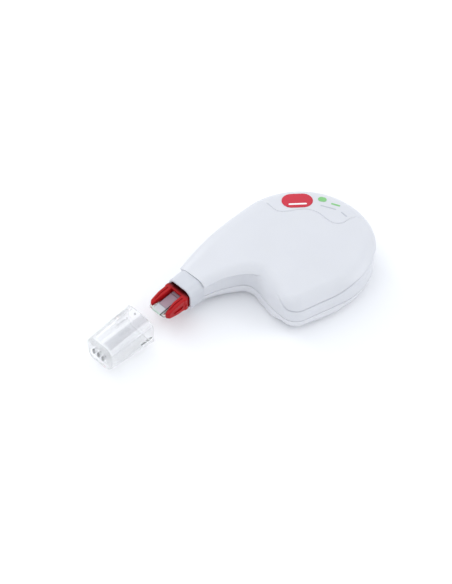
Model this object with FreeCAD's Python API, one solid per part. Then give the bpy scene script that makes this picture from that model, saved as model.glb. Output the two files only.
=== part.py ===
import FreeCAD, Part
import math
import os

# Correction tape roller lying on its flat side, millimetres.
# X runs from the tip (-) to the round head (+), +Y is the straight back, +Z is up.
# The origin is on the flat rest face, under the axis of the supply reel.

V = FreeCAD.Vector
PARTS = {}

# ---------------------------------------------------------------- driving dimensions
TAPE_WIDTH = 4.2
TAPE_THICKNESS = 0.14          # drawn thicker than the real film so that it stays a sound solid

FAR = 60.0                     # beyond every side of the casing
TALL = 40.0                    # above everything

HEAD_RADIUS = 30.0
HEAD_THICKNESS = 18.5
DOME_RADIUS = 350.0            # the top of the head is very slightly crowned
BACK_RADIUS = 180.0
BELLY_ANGLE = -105.0           # where the head circle ends and the straight belly starts
CORNER_RADIUS = 7.5
GRIP_RADIUS = 8.0              # concave corner for the index finger
GRIP_HEADING = -104.0          # direction of the wall below the grip
NECK_CURVE_RADIUS = 45.0
NECK_HEADING = -14.0
NECK_CURVE_TURN = -20.0

NECK_END_X = -43.7
NECK_Y = 19.05
NECK_Z = 9.15
NECK_WIDTH = 14.3
NECK_LIFT = 3.05               # the neck hangs this far above the rest face
LIFT_START_X = -20.0
LIFT_SWEEP = 0.34              # radians of the underside's arc, enough to pass the end of the neck

PARTING_Z = 7.4
CREASE_Z = 13.2
SPLIT_GAP = 0.12
SPLIT_DEPTH = 0.25
RIM_ROUNDING = 4.0
FLOOR_ROUNDING = 5.5
LESS_ROUNDING = 1.8            # the cavities are rounded less than the outside
BAND_TOP_INSET = 0.8           # the band under the crease, at the crease
BAND_FOOT_INSET = 0.35         # and at the parting line, flush with the lower shell
WALL = 1.5
CAVITY_INSET = 2.2
OPEN_END = 0.5                 # the cavity runs this far past the neck's end, which leaves it open
BOSS_ROOT = 0.3                # how far the bosses reach into the walls
OVERRUN = 3.0                  # how far a cut runs past the end of the neck
TONGUE_INSET = 1.0
TONGUE_FIT = 0.05
TONGUE_HEIGHT = 1.1
TONGUE_ROOT = 0.4              # overlap with the wall of the upper shell
TONGUE_END_X = -34.0           # the tongue stops where the neck gets shallow
PANEL_DEPTH = 0.22             # recess for the labels
PANEL_FOOT = 0.4               # the panel stops this far above the crease
LABEL_LIFT = 0.01              # play under a label

SUPPLY_AXIS = (0.0, 0.0)
CENTRE_DISTANCE = 24.0
TAKEUP_ANGLE = 220.0
TAKEUP_AXIS = (CENTRE_DISTANCE * math.cos(math.radians(TAKEUP_ANGLE)),
               CENTRE_DISTANCE * math.sin(math.radians(TAKEUP_ANGLE)))
GEAR_MODULE = 0.6
GEAR_TEETH = 64
PINION_TEETH = 16
PRESSURE_ANGLE = 20.0
BACKLASH = 0.10                # share of the tooth thickness taken off
ADDENDUM = 0.9                 # in modules
DEDENDUM = 1.2
GEAR_Z = (2.8, 5.2)
GEAR_RIM = (9.8, 16.4)         # the spoked part between the boss and the rim
GEAR_RECESS = (4.6, 9.0, 0.7)  # inner and outer radius and depth of the pocket for the spring
SPRING_RING = (7.2, 8.6)
SPRING_THICKNESS = 0.35
SPRING_REST = 0.6              # how far below the gear's face the spring sits
SPRING_TONGUE = (4.9, 7.6)
SPRING_TONGUE_WIDTH = 1.6
SPRING_BEND = 8.0

TAPE_MID_Z = 9.25
TAPE_Z = (TAPE_MID_Z - TAPE_WIDTH / 2, TAPE_MID_Z + TAPE_WIDTH / 2)
TAPE_ROLL_RADIUS = 16.0
SPENT_ROLL_RADIUS = 5.0
SUPPLY_HUB_RADIUS = 9.0
TAKEUP_HUB_RADIUS = 3.2
SUPPLY_FLANGE_RADIUS = 17.0
TAKEUP_FLANGE_RADIUS = 6.2
SUPPLY_POST_RADIUS = 2.5
TAKEUP_POST_RADIUS = 1.5
RUNNING_FIT = 0.08
PRESS_FIT = 0.01
WINDING_FIT = 0.02             # play of the film rolls on their hubs
REEL_GAP = 0.55                # height between the gears and the reels
FLANGE_THICKNESS = 0.8
HUB_OVER_TAPE = 0.7
SPOOL_WALL = 1.2
SPOOL_SLEEVE_RADIUS = 4.0
SPOKE_COUNT = 6
WINDOW_RADIUS = 2.6
WINDOW_CIRCLE = 13.0
SUPPLY_WASHER = (5.4, 0.85, 1.7)       # radius, and bottom and top above the tape
TAKEUP_WASHER = (3.4, 0.65, 1.35)
WASHER_SLOTS = (1.4, 1.0)

POST_FOOT_Z = 0.8              # the posts start inside the floor
SUPPLY_POST_TOP = 14.6
TAKEUP_POST_TOP = 14.4
SUPPLY_BOSS_RADIUS = 4.2
TAKEUP_BOSS_RADIUS = 2.8
SUPPLY_SOCKET_FOOT = 13.5      # lower ends of the sockets under the lid that hold the post tops
TAKEUP_SOCKET_FOOT = 13.0
SEAT_GAP = 0.1                 # between a gear and the step it turns on
SOCKET_FIT = 0.05

RUN_OFFSET = 2.2               # the two tape runs lie this far each side of the neck axis
GUIDE_A_RADIUS = 1.8
GUIDE_A_X = -30.3
GUIDE_B_RADIUS = 2.0
GUIDE_B_X = -26.5
GUIDE_POST_RADIUS = 0.9
GUIDE_FOOT = (1.5, 1.2)        # radius and lower end of the step under a guide roller
GUIDE_STEP_DROP = 0.75
GUIDE_POST_RISE = 1.1
GUIDE_GAP = 0.1                # between a guide roller and the tape
GUIDE_LIP = (0.35, 0.4, 0.6)   # reach and thickness of a flange, and how far it stands off the tape
WINDING_GAP = 0.3              # between a tape run and the roll it comes from
TWIST_X = (-33.0, -46.0)       # where the runs turn from upright to flat
TWIST_STEPS = 9
LOOP_GAP = 0.15                # between the flat tape and the wedge's root
RUN_END_X = 0.05               # the runs end this far behind the pivot

PEG_PLACES = [(22.4, 8.1), (13.7, -19.5), (-12.0, 24.0), (-6.5, -23.4)]
PEG_RADIUS = 1.2
PEG_TOP = 12.4
BOSS_RADIUS = 2.2

COLLAR_LENGTH = 7.1
COLLAR_BACK = (13.1, 11.4)     # width and height where it meets the neck
COLLAR_RIM = (12.9, 11.1)
COLLAR_CORNER = 3.6
COLLAR_BORE = (10.9, 9.1)
COLLAR_BORE_CORNER = 2.6
COLLAR_FLOOR = 1.2             # the bore stops this far before the neck
COLLAR_CHAMFER = 0.25
SPIGOT = (9.4, 8.2, 3.0)       # width, height and corner of the plug inside the neck
SPIGOT_LENGTH = 3.0
TAPE_PASSAGE = (7.2, 6.6, 2.0)
COLLAR_X = NECK_END_X - COLLAR_LENGTH

CHEEK_TIP_X = -62.4
CHEEK_INNER = 2.75             # half of the gap between the two cheeks
CHEEK_OUTER = (5.9, 5.75)      # half width just outside the collar and at the tip
CHEEK_FLARE = 0.95             # the gap opens by this much on each side towards the tip
CHEEK_FLARE_X = COLLAR_X - 6.0
CHEEK_CHAMFER = 0.9
CHEEK_STEP = 0.35              # the arm is thicker where it comes out of the collar
CHEEK_STEP_X = COLLAR_X - 2.4
CHEEK_GROOVE = (0.45, 0.4)     # width and depth of the lengthwise groove along its top and underside
CHEEK_POCKET = (0.45, 1.7)     # depth and height of the recess in its outer side
CHEEK_POCKET_X = (COLLAR_X - 8.3, COLLAR_X - 3.6)
CHEEK_ROUNDING = 0.45
PLUG = (10.8, 9.0)             # width and height of the red base inside the collar
PLUG_START = 1.25              # it starts this far past the neck
PLUG_SUNK = 2.4                # and ends this far inside the collar
PLUG_OVERLAP = 0.3
BRIDGE_X = (COLLAR_X - 1.7, COLLAR_X + 2.6)    # red bar over and under the tape, from cheek to cheek
BRIDGE_Z = (2.25, 3.15)
WINDOW_HEIGHT = 4.6
PIVOT_X = -53.4
PIVOT_RADIUS = 0.8
NOSE_TIP_X = -63.7
NOSE_STEM_WIDTH = 4.9
NOSE_FLANGE_WIDTH = 6.2        # clear flanges beside the tape, near the front
NOSE_FLARE_X = (-58.5, -61.8)
NOSE_BLADE_WIDTH = 8.3
NOSE_ROOT_HALF = 1.25          # half thickness at the pivot
NOSE_EDGE_RADIUS = 0.4
NOSE_BOW_RADIUS = 21.0         # the front edge is slightly bowed
NOSE_BLADE_END = 0.35          # gap between the wide blade and the cheeks' ends
TAPE_CLEARANCE = 0.05          # between the wedge and the tape round it

CAP_LENGTH = 22.6
CAP_OPEN_X = -72.1
CAP_OPEN = (15.3, 13.6)
CAP_CLOSED = (13.2, 11.6)
CAP_BORE = (13.35, 11.65)
CAP_BORE_END = (12.0, 10.2)
CAP_SKIRT = 7.3                # straight part of the bore that slides over the collar
CAP_END_WALL = 2.0
CAP_CORNER = 3.7
CAP_BORE_CORNER = 3.2
CAP_END_ROUNDING = 1.9
CAP_SNAP_X = (6.4, 0.7)        # snap slots: far and near end from the mouth
CAP_SNAP_Z = (-1.9, -1.2)
CAP_VENTS = (-2.6, 0.0, 2.6)   # slots in the closed end
CAP_VENT_SIZE = (0.8, 2.2)
CAP_DIMPLE = (1.7, 1.0, 0.45, 0.4)     # distance from the mouth and from the axis, radius and depth


# ---------------------------------------------------------------- helpers
def polar(centre, radius, degrees):
    a = math.radians(degrees)
    return (centre[0] + radius * math.cos(a), centre[1] + radius * math.sin(a))


def at(point, z=0.0):
    return V(point[0], point[1], z)


def line(p, q):
    return Part.LineSegment(at(p), at(q)).toShape()


def arc(centre, radius, start, end):
    """Arc from one angle to another, in degrees, in either direction."""
    middle = (start + end) / 2
    return Part.Arc(at(polar(centre, radius, start)), at(polar(centre, radius, middle)),
                    at(polar(centre, radius, end))).toShape()


def follow(point, heading, radius, turn):
    """Tangent arc from a point; a negative turn bends to the right."""
    side = 1 if turn > 0 else -1
    centre = polar(point, side * radius, heading + 90)
    start = heading - side * 90
    return arc(centre, radius, start, start + turn), polar(centre, radius, start + turn)


def face_of(edges):
    return Part.Face(Part.Wire(Part.__sortEdges__(edges)))


def cylinder(axis, radius, z0, z1):
    return Part.makeCylinder(radius, z1 - z0, at(axis, z0))


def ring(axis, outer, inner, z0, z1):
    return cylinder(axis, outer, z0, z1).cut(cylinder(axis, inner, z0 - 1, z1 + 1))


def cross_pin(radius, length, x):
    """Cylinder across the tip at one x, centred on the neck axis."""
    return Part.makeCylinder(radius, length, V(x, NECK_Y - length / 2, NECK_Z), V(0, 1, 0))


def box(x, y, z):
    """Box from its three ranges."""
    return Part.makeBox(x[1] - x[0], y[1] - y[0], z[1] - z[0], V(x[0], y[0], z[0]))


def slab(z0, z1):
    return box((-2 * FAR, FAR), (-FAR, FAR), (z0, z1))


def save(name, shape):
    PARTS[name] = shape.removeSplitter()


# ---------------------------------------------------------------- body outline
def outline(grow=0.0, end_x=NECK_END_X):
    """Plan outline of the body as tangent arcs and lines, moved outwards by grow."""
    head = HEAD_RADIUS + grow
    back = BACK_RADIUS + grow
    top_y = NECK_Y + NECK_WIDTH / 2 + grow
    low_y = NECK_Y - NECK_WIDTH / 2 - grow

    # back arc through the neck's corner, tangent to the head circle from outside
    gap = back - head
    reach = math.hypot(end_x, top_y)
    along = (back ** 2 - gap ** 2 - reach ** 2) / (2 * gap)
    join = math.degrees(math.atan2(top_y, end_x) - math.acos(along / reach))
    back_centre = polar((0, 0), -gap, join)
    neck_angle = math.degrees(math.atan2(top_y - back_centre[1], end_x - back_centre[0]))
    edges = [arc(back_centre, back, neck_angle, join), arc((0, 0), head, join, BELLY_ANGLE)]

    # underside of the neck, then the concave grip
    start = (end_x, low_y)
    neck, p = follow(start, NECK_HEADING, NECK_CURVE_RADIUS - grow, NECK_CURVE_TURN)
    grip_turn = GRIP_HEADING - (NECK_HEADING + NECK_CURVE_TURN)
    grip, p = follow(p, NECK_HEADING + NECK_CURVE_TURN, GRIP_RADIUS - grow, grip_turn)

    # wall below the grip, as long as the belly line needs, and the rounded corner
    belly_heading = BELLY_ANGLE + 90
    turn = belly_heading - GRIP_HEADING
    corner_span = follow((0, 0), GRIP_HEADING, CORNER_RADIUS + grow, turn)[1]
    normal = polar((0, 0), 1, BELLY_ANGLE)
    wall = polar((0, 0), 1, GRIP_HEADING)
    missing = head - (p[0] + corner_span[0]) * normal[0] - (p[1] + corner_span[1]) * normal[1]
    length = missing / (wall[0] * normal[0] + wall[1] * normal[1])
    wall_end = polar(p, length, GRIP_HEADING)
    corner, q = follow(wall_end, GRIP_HEADING, CORNER_RADIUS + grow, turn)

    edges += [line(q, polar((0, 0), head, BELLY_ANGLE)), corner, line(p, wall_end), grip, neck]
    edges.append(line(start, (end_x, top_y)))
    return face_of(edges)


def is_end_edge(edge, end_x):
    return all(abs(v.X - end_x) < 0.01 for v in edge.Vertexes)


def upper_form(grow, drop, rounding, end_x=NECK_END_X):
    """Solid under the crowned top, with its top edge rounded all the way round."""
    dome = Part.makeSphere(DOME_RADIUS - drop, V(0, 0, HEAD_THICKNESS - DOME_RADIUS), V(0, 1, 0))
    form = outline(grow, end_x).extrude(V(0, 0, TALL)).common(dome)
    edges = [e for e in form.Edges if min(v.Z for v in e.Vertexes) > PARTING_Z]
    return form.makeFillet(rounding, [e for e in edges if not is_end_edge(e, end_x)])


def underside(lift):
    """Region above the flat base and the underside that rises towards the neck."""
    run = LIFT_START_X - NECK_END_X
    radius = (run ** 2 + NECK_LIFT ** 2) / (2 * NECK_LIFT) - lift
    centre_z = radius + lift

    def on_arc(sweep):
        return V(LIFT_START_X - radius * math.sin(sweep), -FAR, centre_z - radius * math.cos(sweep))

    low = on_arc(0)
    end = on_arc(LIFT_SWEEP)
    corners = [end, V(end.x, -FAR, TALL), V(FAR, -FAR, TALL), V(FAR, -FAR, lift), low]
    edges = [Part.Arc(low, on_arc(LIFT_SWEEP / 2), end).toShape()]
    edges += [Part.LineSegment(a, b).toShape() for a, b in zip(corners, corners[1:])]
    return face_of(edges).extrude(V(0, 2 * FAR, 0))


def lower_form(grow, lift, rounding, end_x=NECK_END_X):
    """Solid over the flat base, with its bottom edge rounded all the way round."""
    form = outline(grow, end_x).extrude(V(0, 0, TALL)).common(underside(lift))
    edges = [e for e in form.Edges if max(v.Z for v in e.Vertexes) < PARTING_Z]
    return form.makeFillet(rounding, [e for e in edges if not is_end_edge(e, end_x)])


def band():
    """Wall between the crease and the parting line; it leans out towards its foot."""
    wires = []
    for inset, z in ((BAND_FOOT_INSET, PARTING_Z), (BAND_TOP_INSET, CREASE_Z + 0.01)):
        wire = outline(-inset).OuterWire.copy()
        wire.translate(V(0, 0, z))
        wires.append(wire)
    return Part.makeLoft(wires, True, True)


# ---------------------------------------------------------------- housing
def split_groove():
    """Shallow groove that makes the parting line visible."""
    past_end = NECK_END_X - OVERRUN
    outer = outline(OVERRUN, past_end).extrude(V(0, 0, 2 * SPLIT_GAP))
    inner = outline(-BAND_FOOT_INSET - SPLIT_DEPTH, past_end).extrude(V(0, 0, 2 * SPLIT_GAP))
    groove = outer.cut(inner)
    groove.translate(V(0, 0, PARTING_Z - SPLIT_GAP))
    return groove


def tongue(clearance, z0, z1):
    """Lip that centres the upper shell in the lower one."""
    outer_face = outline(-BAND_FOOT_INSET - TONGUE_INSET + clearance)
    inner_face = outline(-CAVITY_INSET - TONGUE_FIT, NECK_END_X - OVERRUN)
    lip = outer_face.extrude(V(0, 0, z1 - z0)).cut(inner_face.extrude(V(0, 0, z1 - z0)))
    lip.translate(V(0, 0, z0))
    return lip.common(box((TONGUE_END_X, FAR), (-FAR, FAR), (z0, z1)))


def panel_prism():
    """Plan area of the label panel: a crescent along the rear rim with a wavy inner border."""
    border = Part.BSplineCurve()
    border.interpolate([V(6.5, 40, 0), V(4.8, 24, 0), V(3.6, 17.2, 0), V(11.4, 10.6, 0), V(14.0, 2.4, 0),
                        V(15.6, -4.8, 0), V(21.6, -6.6, 0), V(27.6, -8.6, 0), V(40, -12, 0)])
    edges = [border.toShape(), line((40, -12), (40, 40)), line((40, 40), (6.5, 40))]
    return face_of(edges).extrude(V(0, 0, TALL))


def skin(depth):
    """The outer form of the upper shell moved inwards by depth."""
    return upper_form(-depth, depth, RIM_ROUNDING - depth)


def panel_recess():
    return panel_prism().common(slab(CREASE_Z + PANEL_FOOT, TALL)).cut(skin(PANEL_DEPTH))


def upper_shell():
    inner_rounding = RIM_ROUNDING - LESS_ROUNDING
    top = upper_form(0, 0, RIM_ROUNDING).common(slab(CREASE_Z, TALL))
    cavity = upper_form(-CAVITY_INSET, WALL, inner_rounding, NECK_END_X - OPEN_END)
    shell = top.fuse(band()).cut(cavity.common(slab(0, TALL)))
    shell = shell.fuse(tongue(-TONGUE_FIT, PARTING_Z - TONGUE_HEIGHT, PARTING_Z + TONGUE_ROOT))
    inside = upper_form(-CAVITY_INSET + BOSS_ROOT, WALL / 2, inner_rounding)
    bosses = ring(SUPPLY_AXIS, SUPPLY_BOSS_RADIUS, SUPPLY_POST_RADIUS + SOCKET_FIT, SUPPLY_SOCKET_FOOT, TALL)
    bosses = bosses.fuse(ring(TAKEUP_AXIS, TAKEUP_BOSS_RADIUS, TAKEUP_POST_RADIUS + SOCKET_FIT,
                              TAKEUP_SOCKET_FOOT, TALL))
    for place in PEG_PLACES:
        bosses = bosses.fuse(ring(place, BOSS_RADIUS, PEG_RADIUS + SOCKET_FIT, PARTING_Z + SOCKET_FIT, TALL))
    shell = shell.fuse(bosses.common(inside))
    return shell.cut(split_groove()).cut(panel_recess())


def lower_shell():
    shell = lower_form(-BAND_FOOT_INSET, 0, FLOOR_ROUNDING).common(slab(0, PARTING_Z))
    shell = shell.cut(lower_form(-CAVITY_INSET, WALL, FLOOR_ROUNDING - LESS_ROUNDING, NECK_END_X - OPEN_END))
    shell = shell.cut(tongue(TONGUE_FIT, PARTING_Z - TONGUE_HEIGHT - 2 * TONGUE_FIT, PARTING_Z + 1))
    foot = POST_FOOT_Z
    bosses = cylinder(SUPPLY_AXIS, SUPPLY_POST_RADIUS, foot, SUPPLY_POST_TOP)
    bosses = bosses.fuse(cylinder(SUPPLY_AXIS, SUPPLY_BOSS_RADIUS, foot, GEAR_Z[0] - SEAT_GAP))
    bosses = bosses.fuse(cylinder(TAKEUP_AXIS, TAKEUP_POST_RADIUS, foot, TAKEUP_POST_TOP))
    bosses = bosses.fuse(cylinder(TAKEUP_AXIS, TAKEUP_BOSS_RADIUS, foot, GEAR_Z[0] - SEAT_GAP))
    for place in PEG_PLACES:
        bosses = bosses.fuse(cylinder(place, BOSS_RADIUS, foot, PARTING_Z - SOCKET_FIT))
        bosses = bosses.fuse(cylinder(place, PEG_RADIUS, foot, PEG_TOP))
    step_radius, step_foot = GUIDE_FOOT
    for guide in (guide_a_axis(), guide_b_axis()):
        bosses = bosses.fuse(cylinder(guide, step_radius, step_foot, TAPE_Z[0] - GUIDE_STEP_DROP))
        bosses = bosses.fuse(cylinder(guide, GUIDE_POST_RADIUS, step_foot, TAPE_Z[1] + GUIDE_POST_RISE))
    bosses = bosses.common(lower_form(-BAND_FOOT_INSET, SOCKET_FIT, FLOOR_ROUNDING))
    return shell.fuse(bosses).cut(split_groove())


# ---------------------------------------------------------------- reels and gears
def involute(angle):
    return math.tan(angle) - angle


def gear_outline(axis, teeth, first_tooth):
    """Involute gear face; first_tooth is the direction of one tooth's middle, in degrees."""
    pitch = GEAR_MODULE * teeth / 2
    base = pitch * math.cos(math.radians(PRESSURE_ANGLE))
    tip = pitch + ADDENDUM * GEAR_MODULE
    root = pitch - DEDENDUM * GEAR_MODULE
    half_pitch = math.pi / (2 * teeth) * (1 - BACKLASH)
    foot = max(base, root) + 0.01          # just outside the base circle, where the involute exists

    def half_tooth(radius):
        pressure = math.acos(base / radius)
        return math.degrees(half_pitch + involute(math.radians(PRESSURE_ANGLE)) - involute(pressure))

    edges = []
    step = 360.0 / teeth
    straight_foot = foot > root + 0.02     # the flank goes on straight down to the root circle
    valley = root if straight_foot else foot
    for index in range(teeth):
        middle = first_tooth + index * step
        for side in (-1, 1):
            flank = [at(polar(axis, r, middle + side * half_tooth(r))) for r in (foot, (foot + tip) / 2, tip)]
            edges.append(Part.Arc(*flank).toShape())
            if straight_foot:
                edges.append(line(polar(axis, root, middle + side * half_tooth(foot)),
                                  polar(axis, foot, middle + side * half_tooth(foot))))
        edges.append(arc(axis, tip, middle - half_tooth(tip), middle + half_tooth(tip)))
        edges.append(arc(axis, valley, middle + half_tooth(foot), middle + step - half_tooth(foot)))
    return face_of(edges)


def spokes(inner, outer, width, z0, z1):
    """Radial arms round the supply axis."""
    arms = []
    for index in range(SPOKE_COUNT):
        arm = box((inner, outer), (-width / 2, width / 2), (z0, z1))
        arm.rotate(at(SUPPLY_AXIS), V(0, 0, 1), index * 360.0 / SPOKE_COUNT)
        arms.append(arm)
    return arms[0].multiFuse(arms[1:])


def supply_gear():
    gear = gear_outline(SUPPLY_AXIS, GEAR_TEETH, TAKEUP_ANGLE).extrude(V(0, 0, GEAR_Z[1] - GEAR_Z[0]))
    gear.translate(V(0, 0, GEAR_Z[0]))
    gear = gear.cut(cylinder(SUPPLY_AXIS, SUPPLY_POST_RADIUS + RUNNING_FIT, 0, TALL))
    inner, outer = GEAR_RIM
    gear = gear.cut(ring(SUPPLY_AXIS, outer, inner, 0, TALL))
    gear = gear.fuse(spokes(inner - 0.8, outer + 0.6, 2.4, GEAR_Z[0] + 0.4, GEAR_Z[1] - 0.4))
    inner, outer, depth = GEAR_RECESS
    return gear.cut(ring(SUPPLY_AXIS, outer, inner, GEAR_Z[1] - depth, TALL))


def clutch_spring():
    """Flat spring ring with three bent tongues, between the gear and the reel."""
    z = GEAR_Z[1] - SPRING_REST
    inner, outer = SPRING_RING
    spring = ring(SUPPLY_AXIS, outer, inner, z, z + SPRING_THICKNESS)
    half = SPRING_TONGUE_WIDTH / 2
    for index in range(3):
        arm = box(SPRING_TONGUE, (-half, half), (0, SPRING_THICKNESS))
        arm.rotate(V(SPRING_TONGUE[1], 0, 0), V(0, 1, 0), SPRING_BEND)
        arm.translate(V(0, 0, z))
        arm.rotate(at(SUPPLY_AXIS), V(0, 0, 1), index * 120)
        spring = spring.fuse(arm)
    return spring


def supply_spool():
    z0 = GEAR_Z[1] + REEL_GAP
    top = TAPE_Z[1] + HUB_OVER_TAPE
    bore = SUPPLY_POST_RADIUS + RUNNING_FIT
    hub_bore = SUPPLY_HUB_RADIUS - SPOOL_WALL
    spool = ring(SUPPLY_AXIS, SUPPLY_FLANGE_RADIUS, bore, z0, z0 + FLANGE_THICKNESS)
    spool = spool.fuse(ring(SUPPLY_AXIS, SUPPLY_HUB_RADIUS, hub_bore, z0, top))
    spool = spool.fuse(ring(SUPPLY_AXIS, SPOOL_SLEEVE_RADIUS, bore, z0, top))
    spool = spool.fuse(spokes(SPOOL_SLEEVE_RADIUS - 0.4, hub_bore + 0.4, SPOOL_WALL, z0, TAPE_Z[1] - 0.4))
    places = [polar(SUPPLY_AXIS, WINDOW_CIRCLE, index * 360.0 / SPOKE_COUNT) for index in range(SPOKE_COUNT)]
    windows = [cylinder(place, WINDOW_RADIUS, 0, TALL) for place in places]
    return spool.cut(windows[0].multiFuse(windows[1:]))


def tape_roll():
    return ring(SUPPLY_AXIS, TAPE_ROLL_RADIUS, SUPPLY_HUB_RADIUS + WINDING_FIT, *TAPE_Z)


def split_washer(axis, post_radius, sizes, slot):
    """Snap washer on a reel's post, open towards +X."""
    radius, bottom, top = sizes
    washer = ring(axis, radius, post_radius + PRESS_FIT, TAPE_Z[1] + bottom, TAPE_Z[1] + top)
    gap = box((0, 2 * radius), (-slot / 2, slot / 2), (0, TALL))
    gap.translate(at(axis))
    return washer.cut(gap)


def spool_retainer():
    return split_washer(SUPPLY_AXIS, SUPPLY_POST_RADIUS, SUPPLY_WASHER, WASHER_SLOTS[0])


def takeup_spool():
    first = TAKEUP_ANGLE - 180 + 180.0 / PINION_TEETH
    spool = gear_outline(TAKEUP_AXIS, PINION_TEETH, first).extrude(V(0, 0, GEAR_Z[1] - GEAR_Z[0]))
    spool.translate(V(0, 0, GEAR_Z[0]))
    z0 = GEAR_Z[1] + REEL_GAP
    spool = spool.fuse(cylinder(TAKEUP_AXIS, TAKEUP_FLANGE_RADIUS, z0, z0 + FLANGE_THICKNESS))
    spool = spool.fuse(cylinder(TAKEUP_AXIS, TAKEUP_HUB_RADIUS, GEAR_Z[0], TAPE_Z[1] + 0.5))
    return spool.cut(cylinder(TAKEUP_AXIS, TAKEUP_POST_RADIUS + RUNNING_FIT, 0, TALL))


def spent_tape_roll():
    return ring(TAKEUP_AXIS, SPENT_ROLL_RADIUS, TAKEUP_HUB_RADIUS + WINDING_FIT, *TAPE_Z)


def takeup_retainer():
    return split_washer(TAKEUP_AXIS, TAKEUP_POST_RADIUS, TAKEUP_WASHER, WASHER_SLOTS[1])


# ---------------------------------------------------------------- guides and tape runs
def guide_a_axis():
    return (GUIDE_A_X, NECK_Y + RUN_OFFSET - TAPE_THICKNESS / 2 - GUIDE_A_RADIUS - GUIDE_GAP)


def guide_b_axis():
    return (GUIDE_B_X, NECK_Y - RUN_OFFSET - TAPE_THICKNESS / 2 - GUIDE_B_RADIUS - GUIDE_GAP)


def guide_roller(axis, radius):
    """Waisted roller with a small flange above and below the tape."""
    reach, thickness, stand_off = GUIDE_LIP
    bottom = TAPE_Z[0] - stand_off
    top = TAPE_Z[1] + stand_off
    roller = cylinder(axis, radius, bottom, top)
    for z0 in (bottom, top - thickness):
        roller = roller.fuse(cylinder(axis, radius + reach, z0, z0 + thickness))
    return roller.cut(cylinder(axis, GUIDE_POST_RADIUS + RUNNING_FIT, 0, TALL))


def tangent_angle(centre, radius, point):
    """Direction, seen from the centre, of the tangent point of a line from an outside point."""
    dx = point[0] - centre[0]
    dy = point[1] - centre[1]
    return math.degrees(math.atan2(dy, dx) - math.acos(radius / math.hypot(dx, dy)))


def ribbon(stations):
    """Thin twisted strip; a station is its middle and the angle of its width from the vertical."""
    wires = []
    for x, y, z, turn in stations:
        a = math.radians(turn)
        across = V(0, -math.sin(a), math.cos(a)) * (TAPE_WIDTH / 2)
        thick = V(0, math.cos(a), math.sin(a)) * (TAPE_THICKNESS / 2)
        middle = V(x, y, z)
        corners = [middle + across + thick, middle - across + thick,
                   middle - across - thick, middle + across - thick]
        wires.append(Part.makePolygon(corners + corners[:1]))
    return Part.makeLoft(wires, True, True)


def twisted_stations(side):
    """The run in the neck: side by side at the reels, one above the other at the tip."""
    stations = []
    x0, x1 = TWIST_X
    for index in range(TWIST_STEPS + 1):
        share = index / TWIST_STEPS
        ease = share * share * (3 - 2 * share)
        offset = side * (RUN_OFFSET + (NOSE_ROOT_HALF + LOOP_GAP - RUN_OFFSET) * ease)
        turn = 90 * ease
        a = math.radians(turn)
        z = TAPE_MID_Z + (NECK_Z - TAPE_MID_Z) * ease + offset * math.sin(a)
        stations.append((x0 + (x1 - x0) * share, NECK_Y + offset * math.cos(a), z, turn))
    return stations


def tape_run_supply():
    leave = TAPE_ROLL_RADIUS + WINDING_GAP + TAPE_THICKNESS / 2
    guide = (GUIDE_A_X, NECK_Y + RUN_OFFSET)
    start = polar(SUPPLY_AXIS, leave, tangent_angle(SUPPLY_AXIS, leave, guide))
    stations = [(start[0], start[1], TAPE_MID_Z, 0), (guide[0], guide[1], TAPE_MID_Z, 0)]
    end = (PIVOT_X + RUN_END_X, NECK_Y, NECK_Z + NOSE_ROOT_HALF + LOOP_GAP, 90)
    return ribbon(stations + twisted_stations(1) + [end])


def tape_run_return():
    """Wrapped round the guide, then straight to the far side of the take-up roll."""
    centre = guide_b_axis()
    inner = GUIDE_B_RADIUS + GUIDE_GAP
    wound = SPENT_ROLL_RADIUS + WINDING_GAP
    dx = TAKEUP_AXIS[0] - centre[0]
    dy = TAKEUP_AXIS[1] - centre[1]
    distance = math.hypot(dx, dy)
    side = math.degrees(math.atan2(dy, dx) + math.acos((inner - wound) / distance))
    edges = [arc(centre, inner, 90, side), arc(centre, inner + TAPE_THICKNESS, 90, side)]
    for radius_b, radius_t in ((inner, wound), (inner + TAPE_THICKNESS, wound + TAPE_THICKNESS)):
        edges.append(line(polar(centre, radius_b, side), polar(TAKEUP_AXIS, radius_t, side)))
    edges.append(line(polar(TAKEUP_AXIS, wound, side), polar(TAKEUP_AXIS, wound + TAPE_THICKNESS, side)))
    edges.append(line(polar(centre, inner, 90), polar(centre, inner + TAPE_THICKNESS, 90)))
    wrap = face_of(edges).extrude(V(0, 0, TAPE_WIDTH))
    wrap.translate(V(0, 0, TAPE_Z[0]))
    end = (PIVOT_X + RUN_END_X, NECK_Y, NECK_Z - NOSE_ROOT_HALF - LOOP_GAP, 90)
    start = (centre[0], NECK_Y - RUN_OFFSET, TAPE_MID_Z, 0)
    return wrap.fuse(ribbon([start] + twisted_stations(-1) + [end]))


# ---------------------------------------------------------------- tip
def rounded_section(x, width, height, corner, centre_z=NECK_Z):
    """Rounded rectangle across the neck axis, at one x."""
    w = width / 2 - corner
    h = height / 2 - corner
    s = corner * math.sqrt(0.5)
    edges = []
    for sy, sz in ((1, 1), (-1, 1), (-1, -1), (1, -1)):
        cy, cz = NECK_Y + sy * w, centre_z + sz * h
        edges.append(Part.Arc(V(x, cy + sy * corner, cz), V(x, cy + sy * s, cz + sz * s),
                              V(x, cy, cz + sz * corner)).toShape())
    for sign in (1, -1):
        edges.append(Part.LineSegment(V(x, NECK_Y - w, centre_z + sign * height / 2),
                                      V(x, NECK_Y + w, centre_z + sign * height / 2)).toShape())
        edges.append(Part.LineSegment(V(x, NECK_Y + sign * width / 2, centre_z - h),
                                      V(x, NECK_Y + sign * width / 2, centre_z + h)).toShape())
    return Part.Wire(Part.__sortEdges__(edges))


def tube_form(sections, corner):
    """Solid through rounded sections given as (x, width, height)."""
    return Part.makeLoft([rounded_section(x, w, h, corner) for x, w, h in sections], True, True)


def tube_run(x0, x1, width, height, corner):
    """Straight solid of one rounded section between two x."""
    return tube_form([(x0, width, height), (x1, width, height)], corner)


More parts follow.
